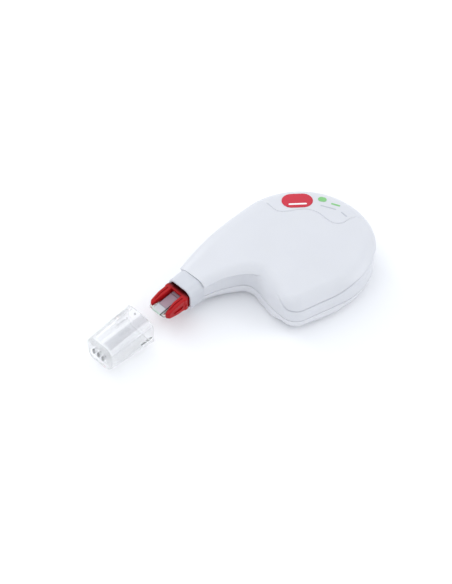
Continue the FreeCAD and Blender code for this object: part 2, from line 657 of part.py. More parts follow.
def nose_collar():
    step_x = NECK_END_X - SPLIT_GAP
    collar = tube_form([(step_x, *COLLAR_BACK), (COLLAR_X, *COLLAR_RIM)], COLLAR_CORNER)
    collar = collar.fuse(tube_run(step_x, NECK_END_X + SPIGOT_LENGTH, *SPIGOT))
    collar = collar.cut(tube_run(COLLAR_X - 1, NECK_END_X - COLLAR_FLOOR, *COLLAR_BORE, COLLAR_BORE_CORNER))
    collar = collar.cut(tube_run(NECK_END_X - 2, NECK_END_X + 2 * SPIGOT_LENGTH, *TAPE_PASSAGE))
    rim = [e for e in collar.Edges if abs(e.CenterOfMass.x - COLLAR_X) < 0.01]
    return collar.makeChamfer(COLLAR_CHAMFER, rim)


def cheek_side(trim=0.0):
    """Side view of an arm on the neck axis, made shallower above and below by trim."""
    start_x = COLLAR_X + PLUG_SUNK + PLUG_OVERLAP
    # x, and how far the arm reaches above and below the neck axis there
    corners = [(start_x, 3.2, 3.0), (COLLAR_X, 3.4, 3.1), (COLLAR_X - 6.5, 2.9, 2.6),
               (CHEEK_TIP_X + 1.6, 1.7, 1.9), (CHEEK_TIP_X, 0.9, 1.2)]
    points = [V(x, NECK_Y, NECK_Z + up - trim) for x, up, down in corners]
    points += [V(x, NECK_Y, NECK_Z - down + trim) for x, up, down in reversed(corners)]
    return face_of([Part.LineSegment(a, b).toShape() for a, b in zip(points, points[1:] + points[:1])])


def cheek(side):
    """One of the two red side arms that protect the tape, on the given side of the axis."""
    start_x = COLLAR_X + PLUG_SUNK + PLUG_OVERLAP
    inner = NECK_Y + side * CHEEK_INNER
    root = NECK_Y + side * (PLUG[0] / 2 - 0.5)
    wide = NECK_Y + side * CHEEK_OUTER[0]
    flank = NECK_Y + side * (CHEEK_OUTER[0] - CHEEK_STEP)
    tip = NECK_Y + side * (CHEEK_OUTER[1] - CHEEK_STEP)
    plan = [(start_x, inner), (start_x, root), (COLLAR_X - 0.1, root), (COLLAR_X - 1.3, wide),
            (CHEEK_STEP_X, wide), (CHEEK_STEP_X - CHEEK_STEP, flank), (CHEEK_FLARE_X, flank),
            (CHEEK_TIP_X + 1.0, tip), (CHEEK_TIP_X - 0.1, tip - side * CHEEK_CHAMFER),
            (CHEEK_TIP_X - 0.1, inner + side * CHEEK_FLARE), (CHEEK_FLARE_X, inner)]
    prism = face_of([line(a, b) for a, b in zip(plan, plan[1:] + plan[:1])]).extrude(V(0, 0, TALL))
    arm = cheek_side().extrude(V(0, side * FAR, 0)).common(prism)
    outside = [e for e in arm.Edges if e.CenterOfMass.x < COLLAR_X - 0.7]
    arm = arm.makeFillet(CHEEK_ROUNDING, outside)

    width, depth = CHEEK_GROOVE
    middle = (inner + flank) / 2
    strip = box((CHEEK_TIP_X + 2.0, CHEEK_STEP_X), (middle - width / 2, middle + width / 2), (0, TALL))
    arm = arm.cut(strip.cut(cheek_side(depth).extrude(V(0, side * FAR, 0))))
    depth, height = CHEEK_POCKET
    reach = sorted((flank - side * depth, flank + side * depth))
    return arm.cut(box(CHEEK_POCKET_X, reach, (NECK_Z - height / 2, NECK_Z + height / 2)))


def tip_holder():
    base = tube_run(NECK_END_X - PLUG_START, COLLAR_X + PLUG_SUNK, *PLUG, COLLAR_BORE_CORNER)
    window = box((COLLAR_X - 5, NECK_END_X), (NECK_Y - CHEEK_INNER, NECK_Y + CHEEK_INNER),
                 (NECK_Z - WINDOW_HEIGHT / 2, NECK_Z + WINDOW_HEIGHT / 2))
    holder = base.fuse(cheek(1)).fuse(cheek(-1)).cut(window)
    half = CHEEK_INNER + PLUG_OVERLAP
    low, high = BRIDGE_Z
    for heights in ((NECK_Z + low, NECK_Z + high), (NECK_Z - high, NECK_Z - low)):
        holder = holder.fuse(box(BRIDGE_X, (NECK_Y - half, NECK_Y + half), heights))
    return holder.cut(cross_pin(PIVOT_RADIUS + PRESS_FIT, 2 * NECK_WIDTH, PIVOT_X))


def tip_pivot_pin():
    return cross_pin(PIVOT_RADIUS, 2 * (CHEEK_OUTER[0] - 0.3), PIVOT_X)


def nose_profile(extra):
    """Side view of the wedge round which the tape turns, grown by extra."""
    root = NOSE_ROOT_HALF + extra
    tip = NOSE_EDGE_RADIUS + extra
    centre_x = NOSE_TIP_X + NOSE_EDGE_RADIUS
    slope = math.degrees(math.asin((root - tip) / (PIVOT_X - centre_x)))

    def on_tip(angle):
        p = polar((centre_x, NECK_Z), tip, angle)
        return V(p[0], 0, p[1])

    def on_root(angle):
        p = polar((PIVOT_X, NECK_Z), root, angle)
        return V(p[0], 0, p[1])

    top, low = 90 + slope, 270 - slope
    return [Part.LineSegment(on_root(top), on_tip(top)).toShape(),
            Part.Arc(on_tip(top), on_tip(180), on_tip(low)).toShape(),
            Part.LineSegment(on_tip(low), on_root(low)).toShape(),
            Part.Arc(on_root(low), on_root(0), on_root(top)).toShape()]


def nose_plan():
    """Half widths of the wedge along its length, as a closed plan outline."""
    front = CHEEK_TIP_X - NOSE_BLADE_END
    flare_start, flare_end = NOSE_FLARE_X
    widths = [(PIVOT_X + 2 * NOSE_ROOT_HALF, NOSE_STEM_WIDTH), (flare_start, NOSE_STEM_WIDTH),
              (flare_end, NOSE_FLANGE_WIDTH), (front, NOSE_FLANGE_WIDTH),
              (front, NOSE_BLADE_WIDTH), (NOSE_TIP_X - 1, NOSE_BLADE_WIDTH)]
    corners = [(x, NECK_Y + width / 2) for x, width in widths]
    corners += [(x, NECK_Y - width / 2) for x, width in reversed(widths)]
    return face_of([line(a, b) for a, b in zip(corners, corners[1:] + corners[:1])])


def applicator_nose():
    nose = face_of(nose_profile(0)).extrude(V(0, FAR, 0)).common(nose_plan().extrude(V(0, 0, TALL)))
    nose = nose.common(cylinder((NOSE_TIP_X + NOSE_BOW_RADIUS, NECK_Y), NOSE_BOW_RADIUS, 0, TALL))
    return nose.cut(cross_pin(PIVOT_RADIUS + RUNNING_FIT, 2 * NECK_WIDTH, PIVOT_X))


def tape_on_nose():
    outer = face_of(nose_profile(TAPE_CLEARANCE + TAPE_THICKNESS))
    inner = face_of(nose_profile(TAPE_CLEARANCE))
    loop = outer.cut(inner).extrude(V(0, TAPE_WIDTH, 0))
    loop.translate(V(0, NECK_Y - TAPE_WIDTH / 2, 0))
    return loop.common(box((NOSE_TIP_X - 1, PIVOT_X - 0.2), (0, FAR), (0, TALL)))


# ---------------------------------------------------------------- cap
def cap():
    closed_x = CAP_OPEN_X - CAP_LENGTH
    shell = tube_form([(CAP_OPEN_X, *CAP_OPEN), (closed_x, *CAP_CLOSED)], CAP_CORNER)
    end_edges = [e for e in shell.Edges if abs(e.CenterOfMass.x - closed_x) < 0.01]
    shell = shell.makeFillet(CAP_END_ROUNDING, end_edges)
    skirt_x = CAP_OPEN_X - CAP_SKIRT
    bore = tube_run(CAP_OPEN_X + 1, skirt_x, *CAP_BORE, CAP_BORE_CORNER)
    taper = [(skirt_x, *CAP_BORE), (closed_x + CAP_END_WALL, *CAP_BORE_END)]
    shell = shell.cut(bore.fuse(tube_form(taper, CAP_BORE_CORNER)))
    far, near = CAP_SNAP_X
    for side in (-1, 1):
        y = NECK_Y + side * CAP_OPEN[0] / 2
        shell = shell.cut(box((CAP_OPEN_X - far, CAP_OPEN_X - near), (y - 2, y + 2),
                              (NECK_Z + CAP_SNAP_Z[0], NECK_Z + CAP_SNAP_Z[1])))
    width, height = CAP_VENT_SIZE
    for offset in CAP_VENTS:
        y = NECK_Y + offset
        shell = shell.cut(box((closed_x - 1, closed_x + 2 * CAP_END_WALL), (y - width / 2, y + width / 2),
                              (NECK_Z - height / 2, NECK_Z + height / 2)))
    back, across, radius, depth = CAP_DIMPLE
    top = NECK_Z + CAP_OPEN[1] / 2
    return shell.cut(cylinder((CAP_OPEN_X - back, NECK_Y + across), radius, top - depth, TALL))


# ---------------------------------------------------------------- labels
def label_layer(face, thickness):
    """Thin sticker on the floor of the panel."""
    prism = face.extrude(V(0, 0, TALL)).common(slab(PARTING_Z, TALL))
    bottom = PANEL_DEPTH - LABEL_LIFT
    return prism.common(skin(bottom - thickness)).cut(skin(bottom))


def pill(centre, length, width, heading):
    """Rounded bar outline turned to a heading."""
    half = length / 2 - width / 2
    r = width / 2
    a = polar(centre, -half, heading)
    b = polar(centre, half, heading)
    edges = [arc(a, r, heading + 90, heading + 270), arc(b, r, heading - 90, heading + 90)]
    for turn in (90, -90):
        edges.append(line(polar(a, r, heading + turn), polar(b, r, heading + turn)))
    return face_of(edges)


def brand_patch():
    return label_layer(pill((14.4, 16.4), 13.0, 8.4, -42), 0.1)


def eco_mark():
    return label_layer(pill((22.4, 9.6), 3.6, 2.8, -60), 0.08)


# ---------------------------------------------------------------- build
def main():
    os.makedirs("parts", exist_ok=True)
    save("lower_shell", lower_shell())
    save("upper_shell", upper_shell())
    save("nose_collar", nose_collar())
    save("brand_patch", brand_patch())
    save("eco_mark", eco_mark())
    save("supply_gear", supply_gear())
    save("clutch_spring", clutch_spring())
    save("supply_spool", supply_spool())
    save("tape_roll", tape_roll())
    save("spool_retainer", spool_retainer())
    save("takeup_spool", takeup_spool())
    save("spent_tape_roll", spent_tape_roll())
    save("takeup_retainer", takeup_retainer())
    save("guide_roller_supply", guide_roller(guide_a_axis(), GUIDE_A_RADIUS))
    save("guide_roller_return", guide_roller(guide_b_axis(), GUIDE_B_RADIUS))
    save("tape_run_supply", tape_run_supply())
    save("tape_run_return", tape_run_return())
    save("tip_holder", tip_holder())
    save("tip_pivot_pin", tip_pivot_pin())
    save("applicator_nose", applicator_nose())
    save("tape_on_nose", tape_on_nose())
    save("cap", cap())
    for name, shape in PARTS.items():
        shape.exportStep("parts/" + name + ".step")
        print(name, len(shape.Solids), shape.isValid(), round(shape.Volume, 2))


main()
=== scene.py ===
import math

import bmesh
import bpy
import numpy as np
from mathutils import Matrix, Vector
from mathutils.geometry import delaunay_2d_cdt


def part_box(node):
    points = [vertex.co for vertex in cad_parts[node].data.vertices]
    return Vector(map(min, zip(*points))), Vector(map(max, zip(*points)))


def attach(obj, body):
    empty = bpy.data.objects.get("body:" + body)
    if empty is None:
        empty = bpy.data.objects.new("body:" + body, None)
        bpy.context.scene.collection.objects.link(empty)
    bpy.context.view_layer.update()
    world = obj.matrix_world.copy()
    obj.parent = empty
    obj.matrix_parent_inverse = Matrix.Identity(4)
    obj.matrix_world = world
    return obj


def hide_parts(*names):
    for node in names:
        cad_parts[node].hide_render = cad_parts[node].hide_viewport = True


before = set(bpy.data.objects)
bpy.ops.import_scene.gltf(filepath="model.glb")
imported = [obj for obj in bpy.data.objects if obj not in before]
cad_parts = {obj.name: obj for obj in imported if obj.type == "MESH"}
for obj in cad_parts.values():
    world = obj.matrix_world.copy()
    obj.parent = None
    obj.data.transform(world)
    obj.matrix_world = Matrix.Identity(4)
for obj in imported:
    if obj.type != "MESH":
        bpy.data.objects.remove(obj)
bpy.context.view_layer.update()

MM = 0.001

# ---------------------------------------------------------------- sizes of the body, in metres and degrees
SHELL_LOW, SHELL_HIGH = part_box("upper_shell")
HEAD_RADIUS = SHELL_HIGH.x
NECK_END_X = SHELL_LOW.x
TOP_Z = SHELL_HIGH.z
DOME_RADIUS = 350 * MM
BACK_RADIUS = 180 * MM
BELLY_ANGLE = -105.0              # direction from the head's centre where the straight belly begins
CORNER_RADIUS = 7.5 * MM
GRIP_RADIUS = 8 * MM
GRIP_HEADING = 76.0               # heading of the wall between the belly's corner and the grip
NECK_CURVE_RADIUS = 45 * MM
NECK_CURVE_TURN = 20.0
NECK_SLANT = 14.0
NECK_Y = 19.05 * MM
NECK_HALF = 7.15 * MM
NECK_LIFT = 3.05 * MM
LIFT_START_X = -20 * MM
STUB_LENGTH = 10 * MM             # the outline runs on past the neck's end and is cut off there
EASE_RADIUS = 14 * MM
PARTING_Z = 7.4 * MM
SHELL_WALL = 1.5 * MM
PANEL_DEPTH = 0.22 * MM


def polar(centre, radius, degrees):
    """The point at a radius and a direction from a centre."""
    a = math.radians(degrees)
    return np.array([centre[0] + radius * math.cos(a), centre[1] + radius * math.sin(a)])


# ---------------------------------------------------------------- outline of the body
class Pen:
    """Draws the outline clockwise and keeps points and inward normals."""

    def __init__(self, point, heading, step):
        self.point = np.array(point, float)
        self.heading = heading
        self.step = step
        self.points = []
        self.normals = []

    def mark(self):
        self.points.append(self.point.copy())
        self.normals.append(polar((0, 0), 1, self.heading - 90))

    def line(self, length):
        count = max(1, round(length / self.step))
        start = self.point.copy()
        for index in range(count):
            self.point = polar(start, length * index / count, self.heading)
            self.mark()
        self.point = polar(start, length, self.heading)

    def arc(self, radius, turn):
        """A positive turn bends to the left."""
        side = 1 if turn > 0 else -1
        centre = polar(self.point, side * radius, self.heading + 90)
        count = max(2, round(abs(math.radians(turn)) * radius / self.step))
        start = self.heading
        for index in range(count):
            self.heading = start + turn * index / count
            self.point = polar(centre, radius, self.heading - side * 90)
            self.mark()
        self.heading = start + turn
        self.point = polar(centre, radius, self.heading - side * 90)


def outline(step):
    """Points and inward normals round the body's rim, seen from above."""
    top = np.array([NECK_END_X, NECK_Y + NECK_HALF])
    gap = BACK_RADIUS - HEAD_RADIUS
    reach = math.hypot(*top)
    along = (BACK_RADIUS ** 2 - gap ** 2 - reach ** 2) / (2 * gap)
    join = math.degrees(math.atan2(top[1], top[0]) - math.acos(along / reach))
    back_centre = polar((0, 0), -gap, join)
    first = math.degrees(math.atan2(top[1] - back_centre[1], top[0] - back_centre[0]))

    rise = math.radians(first - 90)
    start = (top[0] - EASE_RADIUS * math.sin(rise) - STUB_LENGTH,
             top[1] - EASE_RADIUS * (1 - math.cos(rise)))
    pen = Pen(start, 0, step)
    pen.line(STUB_LENGTH)
    pen.arc(EASE_RADIUS, first - 90)
    pen.arc(BACK_RADIUS, join - first)
    pen.arc(HEAD_RADIUS, BELLY_ANGLE - join)

    # the far end is walked backwards from the neck to find the two straight lengths
    down_belly = BELLY_ANGLE - 90
    low = Pen((NECK_END_X, NECK_Y - NECK_HALF), -NECK_SLANT, step)
    low.arc(NECK_CURVE_RADIUS, -NECK_CURVE_TURN)
    low.arc(GRIP_RADIUS, GRIP_HEADING - 180 + NECK_SLANT + NECK_CURVE_TURN)
    corner_turn = GRIP_HEADING - (down_belly + 360)
    corner = Pen((0, 0), down_belly + 360, step)
    corner.arc(CORNER_RADIUS, corner_turn)
    wanted = low.point - pen.point - corner.point
    belly = polar((0, 0), 1, down_belly)
    wall = polar((0, 0), 1, GRIP_HEADING)
    belly_length, wall_length = np.linalg.solve(np.column_stack([belly, wall]), wanted)
    pen.heading = down_belly + 360
    pen.line(belly_length)
    pen.arc(CORNER_RADIUS, corner_turn)
    pen.line(wall_length)
    pen.arc(GRIP_RADIUS, 180 - NECK_SLANT - NECK_CURVE_TURN - GRIP_HEADING)
    pen.arc(NECK_CURVE_RADIUS, NECK_CURVE_TURN)
    pen.arc(EASE_RADIUS, NECK_SLANT)
    pen.line(pen.point[0] - start[0])
    pen.heading = 90
    pen.line(start[1] - pen.point[1])
    return np.array(pen.points), np.array(pen.normals)


def smooth(low, high, value):
    """0 up to low, 1 from high on, with an even start and end."""
    share = np.clip((value - low) / (high - low), 0, 1)
    return share * share * (3 - 2 * share)


def dome(xy):
    """Height of the crowned top without its label panel."""
    return TOP_Z - DOME_RADIUS + np.sqrt(DOME_RADIUS ** 2 - np.sum(xy ** 2, axis=-1))


def underside(xy):
    """Height of the flat base and of the underside that rises towards the neck."""
    run = LIFT_START_X - NECK_END_X
    radius = (run ** 2 + NECK_LIFT ** 2) / (2 * NECK_LIFT)
    over = np.maximum(LIFT_START_X - xy[..., 0], 0)
    return radius - np.sqrt(radius ** 2 - over ** 2)


def ceiling(xy):
    return dome(xy) - SHELL_WALL


def inner_floor(xy):
    return underside(xy) + SHELL_WALL


# ---------------------------------------------------------------- label panel
PANEL_BORDER = np.array([(6.5, 40), (4.6, 24), (4.2, 18.0), (7.3, 14.6), (10.8, 12.4), (13.8, 9.4),
                         (15.2, 5.4), (15.0, 0.0), (15.6, -3.4), (18.2, -5.5), (22.6, -6.0),
                         (27.4, -8.4), (40, -14)]) * MM
PANEL_EDGE = 0.2 * MM                  # half the width of the step at the panel's border
GROOVE_DEPTH = 0.45 * MM
GROOVE_WIDTH = 1.2 * PANEL_EDGE
BORDER_CHORD = 0.7 * MM
SPLINE_STEPS = 12                      # between two points
BATCH = 2000                           # points measured at once, to spare memory


def spline(points):
    """Catmull-Rom curve through the points."""
    padded = np.vstack([2 * points[0] - points[1], points, 2 * points[-1] - points[-2]])
    curve = []
    for index in range(len(points) - 1):
        a, b, c, d = padded[index:index + 4]
        for t in np.linspace(0, 1, SPLINE_STEPS, endpoint=False):
            curve.append(0.5 * (2 * b + (c - a) * t + (2 * a - 5 * b + 4 * c - d) * t ** 2
                                + (3 * b - a - 3 * c + d) * t ** 3))
    curve.append(points[-1])
    return np.array(curve)


def panel_border(gap):
    """Points on the panel's border gap apart, with the normals to their left."""
    curve = spline(PANEL_BORDER)
    lengths = np.concatenate([[0], np.cumsum(np.hypot(*np.diff(curve, axis=0).T))])
    stops = np.arange(0, lengths[-1], gap)
    spots = np.column_stack([np.interp(stops, lengths, curve[:, axis]) for axis in (0, 1)])
    tangents = np.gradient(spots, axis=0)
    tangents /= np.hypot(*tangents.T)[:, None]
    return spots, np.column_stack([-tangents[:, 1], tangents[:, 0]])


def border_distance(xy):
    """Distance from the panel's border, positive on the label side."""
    curve, _ = panel_border(BORDER_CHORD)
    start, along = curve[:-1], np.diff(curve, axis=0)
    signed = np.empty(len(xy))
    for first in range(0, len(xy), BATCH):
        rel = xy[first:first + BATCH, None, :] - start[None]
        t = np.clip(np.sum(rel * along, axis=2) / np.sum(along ** 2, axis=1), 0, 1)
        gap = rel - t[..., None] * along
        distance = np.hypot(gap[..., 0], gap[..., 1])
        nearest = np.argmin(distance, axis=1)
        rows = np.arange(len(rel))
        off = rel[rows, nearest]
        step = along[nearest]
        side = np.where(step[:, 0] * off[:, 1] > step[:, 1] * off[:, 0], 1, -1)
        signed[first:first + BATCH] = side * distance[rows, nearest]
    return signed


def panel_drop(xy):
    """How far the label panel and the groove along its border lie under the dome."""
    signed = border_distance(xy)
    groove = GROOVE_DEPTH * np.exp(-(signed / GROOVE_WIDTH) ** 2)
    return PANEL_DEPTH * smooth(-PANEL_EDGE, PANEL_EDGE, signed) + groove


def top_height(xy):
    return dome(xy) - panel_drop(xy)


# ---------------------------------------------------------------- mesh building
CLEAR_OF_RING = 0.55                   # least distances of a lattice's points, as shares of its gap
EXTRA_CLEAR_OF_RING = 0.3
CLEAR_OF_EXTRA = 0.6
INSIDE_ONLY = 1                        # the triangulation's mode that keeps only what lies inside
MERGE = 1e-5                           # its merging distance, in mm
SHARP_ANGLE = math.radians(38)


def lies_inside(xy, ring):
    inside = np.zeros(len(xy), bool)
    ends = np.roll(ring, -1, axis=0)
    for (x0, y0), (x1, y1) in zip(ring, ends):
        crosses = (y0 > xy[:, 1]) != (y1 > xy[:, 1])
        if y1 != y0:
            inside ^= crosses & (xy[:, 0] < (x1 - x0) * (xy[:, 1] - y0) / (y1 - y0) + x0)
    return inside


def clear_of(xy, others, gap):
    """Keeps only the points at least gap away from all the others."""
    keep = np.ones(len(xy), bool)
    for other in others:
        keep &= np.hypot(xy[:, 0] - other[0], xy[:, 1] - other[1]) > gap
    return xy[keep]


def lattice(ring, gap):
    """Triangular lattice of points inside a ring."""
    low, high = ring.min(axis=0), ring.max(axis=0)
    rise = gap * math.sqrt(0.75)
    rows = np.arange(low[1], high[1], rise)
    found = []
    for index, y in enumerate(rows):
        xs = np.arange(low[0] + (index % 2) * gap / 2, high[0], gap)
        found.append(np.column_stack([xs, np.full(len(xs), y)]))
    points = np.vstack(found)
    return clear_of(points[lies_inside(points, ring)], ring, gap * CLEAR_OF_RING)


class Shape:
    """Collects points and faces of one closed mesh."""

    def __init__(self):
        self.points = []
        self.faces = []

    def row(self, coords):
        first = len(self.points)
        self.points.extend(tuple(c) for c in coords)
        return list(range(first, len(self.points)))

    def join(self, one, two):
        """A closed band of quads between two rows."""
        for col in range(len(one)):
            after = (col + 1) % len(one)
            self.faces.append((one[col], one[after], two[after], two[col]))

    def loft(self, rings):
        """Rows for all the rings, joined in order; returns the first and the last."""
        rows = [self.row(ring) for ring in rings]
        for one, two in zip(rows, rows[1:]):
            self.join(one, two)
        return rows[0], rows[-1]

    def fill(self, row, gap, height, extra=None):
        """Closes a row with a triangulated surface whose points take their height from a function."""
        ring = np.array([self.points[index][:2] for index in row])
        inner = lattice(ring, gap)
        if extra is not None:
            extra = clear_of(extra[lies_inside(extra, ring)], ring, gap * EXTRA_CLEAR_OF_RING)
            inner = np.vstack([clear_of(inner, extra, gap * CLEAR_OF_EXTRA), extra])
        ids = row + self.row(np.column_stack([inner, height(inner)]))
        flat = [Vector(xy) for xy in np.vstack([ring, inner]) / MM]
        edges = [(index, (index + 1) % len(row)) for index in range(len(row))]
        spots, _, faces, origins, _, _ = delaunay_2d_cdt(flat, edges, [], INSIDE_ONLY, MERGE)
        # a ring may cross itself beyond the cut at the neck's end, which makes points of its own
        crossings = [spot[:] for spot, origin in zip(spots, origins) if not origin]
        crossings = np.array(crossings).reshape(-1, 2) * MM
        spare = iter(self.row(np.column_stack([crossings, height(crossings)])))
        chosen = [ids[origin[0]] if origin else next(spare) for origin in origins]
        self.faces.extend(tuple(chosen[corner] for corner in face) for face in faces)

    def piece(self, name, cut_x=None):
        """The finished object; cut_x takes away all that lies towards the tip from there."""
        mesh = bpy.data.meshes.new(name)
        mesh.from_pydata(self.points, [], self.faces)
        bm = bmesh.new()
        bm.from_mesh(mesh)
        if cut_x is not None:
            bmesh.ops.bisect_plane(bm, geom=bm.verts[:] + bm.edges[:] + bm.faces[:], dist=1e-7,
                                   plane_co=(cut_x, 0, 0), plane_no=(-1, 0, 0), clear_outer=True)
            rim = [edge for edge in bm.edges if edge.is_boundary]
            bmesh.ops.triangle_fill(bm, use_beauty=True, edges=rim)
        bmesh.ops.recalc_face_normals(bm, faces=bm.faces[:])
        bm.to_mesh(mesh)
        bm.free()
        mesh.shade_smooth()
        mesh.set_sharp_from_angle(angle=SHARP_ANGLE)
        piece = bpy.data.objects.new(name, mesh)
        bpy.context.scene.collection.objects.link(piece)
        return piece


# ---------------------------------------------------------------- the rim and what varies along it
RIM_STEP = 0.5 * MM                    # between two points of the outline
SOFT_REACH = 9 * MM                    # the smoothed normals are means over this far to both sides
SCOOP_MIDDLE = np.array([-27.0, -6.0]) * MM       # between the grip and the belly's corner
SCOOP_REACH = (3.5 * MM, 11.5 * MM)
BULGE_CORNER = np.array([-28.5, -22.0]) * MM
BULGE_REACH = (5 * MM, 17 * MM)
NECK_BLEND_X = (-44 * MM, -34 * MM)
OVERHANG = (-64.0, -48.0)              # from these directions round to the neck the rim hangs over the band
FOOT_INSET = 0.2 * MM                  # of the band between the crease and the parting line
OVERHANG_INSET = 0.55 * MM
LID_INSET = 0.9 * MM                   # of the lid where the rim doesn't hang over
SCOOP_BULGE = 0.9 * MM                 # the wall under the grip stands out past the outline by this much

CREASE_Z = 14.9 * MM                   # where none of the dips lowers it
NECK_DIP = 1.6 * MM
CORNER_DIP = 2.2 * MM
CORNER_DIP_REACH = (2 * MM, 9 * MM)
BELLY_DIP = 2.0 * MM
BELLY_DIP_MIDDLE = np.array([-16.5, -26.0]) * MM
BELLY_DIP_REACH = (5 * MM, 18 * MM)
CREASE_BELOW_RIM = 1.5 * MM            # at least
CREASE_DEPTH = 0.6 * MM
CREASE_GAP = 0.42 * MM
FAINT_FROM, FAINT_TO = (-100, -72), (100, 140)    # the crease is fainter between these directions
FAINT_DEPTH_LOSS = 0.85
FAINT_GAP_LOSS = 0.55


def nearness(points, middle, reach):
    """1 within the first reach of a place, fading smoothly to 0 at the second."""
    away = np.hypot(points[:, 0] - middle[0], points[:, 1] - middle[1])
    return 1 - smooth(*reach, away)


class Rim:
    """The outline's points with a way to make rings from them."""

    def __init__(self, step):
        self.points, self.normals = outline(step)
        reach = round(SOFT_REACH / step)
        weights = np.hanning(2 * reach + 3)[1:-1]
        count = len(self.points)
        padded = np.vstack([self.normals[-reach:], self.normals, self.normals[:reach]])
        columns = [np.convolve(padded[:, axis], weights, "valid")[:count] for axis in (0, 1)]
        self.soft = np.column_stack(columns)
        self.soft /= np.hypot(*self.soft.T)[:, None]

    def ring(self, inset, z, soft=0.0):
        """A ring inset from the outline; soft turns the direction towards the smoothed normals."""
        ways = self.normals * (1 - soft) + self.soft * soft
        xy = self.points + ways * np.broadcast_to(inset, len(self.points))[:, None]
        return np.column_stack([xy, z(xy) if callable(z) else np.broadcast_to(z, len(xy))])


class Edge:
    """Distances and shares that vary along the rim, one value for each of its points."""

    def __init__(self, rim):
        x, y = rim.points[:, 0], rim.points[:, 1]
        angle = np.degrees(np.arctan2(y, x))
        self.scoop = nearness(rim.points, SCOOP_MIDDLE, SCOOP_REACH)
        self.corner = nearness(rim.points, BULGE_CORNER, BULGE_REACH)
        self.neck = 1 - smooth(*NECK_BLEND_X, x)
        hang = smooth(*OVERHANG, angle)
        self.foot = FOOT_INSET + OVERHANG_INSET * hang
        self.foot_in = self.foot * (1 - self.scoop) - SCOOP_BULGE * self.scoop
        self.lid_in = LID_INSET * (1 - hang) * (1 - self.neck)

        faint = smooth(*FAINT_FROM, angle) * (1 - smooth(*FAINT_TO, angle))
        self.cut = CREASE_DEPTH * (1 - FAINT_DEPTH_LOSS * faint)
        self.gap = CREASE_GAP * (1 - FAINT_GAP_LOSS * faint)
        self.rim_z = rim.ring(0, dome)[:, 2]
        near_corner = nearness(rim.points, BULGE_CORNER, CORNER_DIP_REACH)
        near_belly = nearness(rim.points, BELLY_DIP_MIDDLE, BELLY_DIP_REACH) * (1 - near_corner)
        dip = NECK_DIP * self.neck + CORNER_DIP * near_corner + BELLY_DIP * near_belly
        self.crease_z = np.minimum(CREASE_Z - dip, self.rim_z - CREASE_BELOW_RIM)


# ---------------------------------------------------------------- both shells
LEVEL_RUN = 0.3 * MM                   # level strip between a rounding and the surface that closes it
INNER_ANGLES = np.radians([75, 50, 25, 5])
INNER_MESH = 3.5 * MM


def inner_rings(rim, edge, across, down, closing, side, parting_z):
    """Rings of a shell's inner face, from its closing surface to the parting line.

    Across and down are the half axes of the rounding; side is 1 where the wall rises from the closing
    surface, in the lower shell, and -1 where it falls.
    """
    start = edge.foot_in + SHELL_WALL
    yield rim.ring(start + across + LEVEL_RUN, closing)
    for angle in INNER_ANGLES:
        yield rim.ring(start + across * (1 - math.cos(angle)),
                       lambda xy: closing(xy) + side * down * (1 - math.sin(angle)))
    yield rim.ring(start, parting_z)


# ---------------------------------------------------------------- upper shell
UPPER_INNER_ACROSS, UPPER_INNER_DOWN = 4.2 * MM, 3.2 * MM
# inset and height above the parting plane of the small step along the shell's lower edge, inside first
UPPER_LIP = np.array([(0.34, 0.02), (0.32, 0.11), (0.05, 0.15), (0.0, 0.22)]) * MM
BAND_SHARES = (0.12, 0.25, 0.4, 0.55, 0.68, 0.77, 0.84, 0.9, 0.95, 0.985, 1.0)     # closest at the crease
SHOULDER = 1.7 * MM                    # height of the rounded shoulder under the crease
SHOULDER_BEHIND_LID = 0.1 * MM
CREASE_LIP = 0.12 * MM                 # rounding of the crease's upper edge
SCOOP_ACROSS = 8.2 * MM                # the scoop's rounding, measured inwards
SCOOP_FOOT_Z = 9.4 * MM
# the lid's rounding is part of an ellipse: its half width, and the angle at which the crease cuts it off
LID_ACROSS, LID_ACROSS_NECK_LOSS = 6.4 * MM, 1.8 * MM
LID_ANGLE, LID_ANGLE_NECK_LOSS = 34, 14
LID_SHARES = np.linspace(0.06, 1, 16)
LID_LEVEL_RUN = 0.35 * MM
TOP_MESH = 0.7 * MM
BORDER_MESH = 0.35 * MM
BORDER_ROWS = (-2.2, -1.0, -0.4, 0.4, 1.0, 2.2)    # rows of points along the panel's step, in half widths


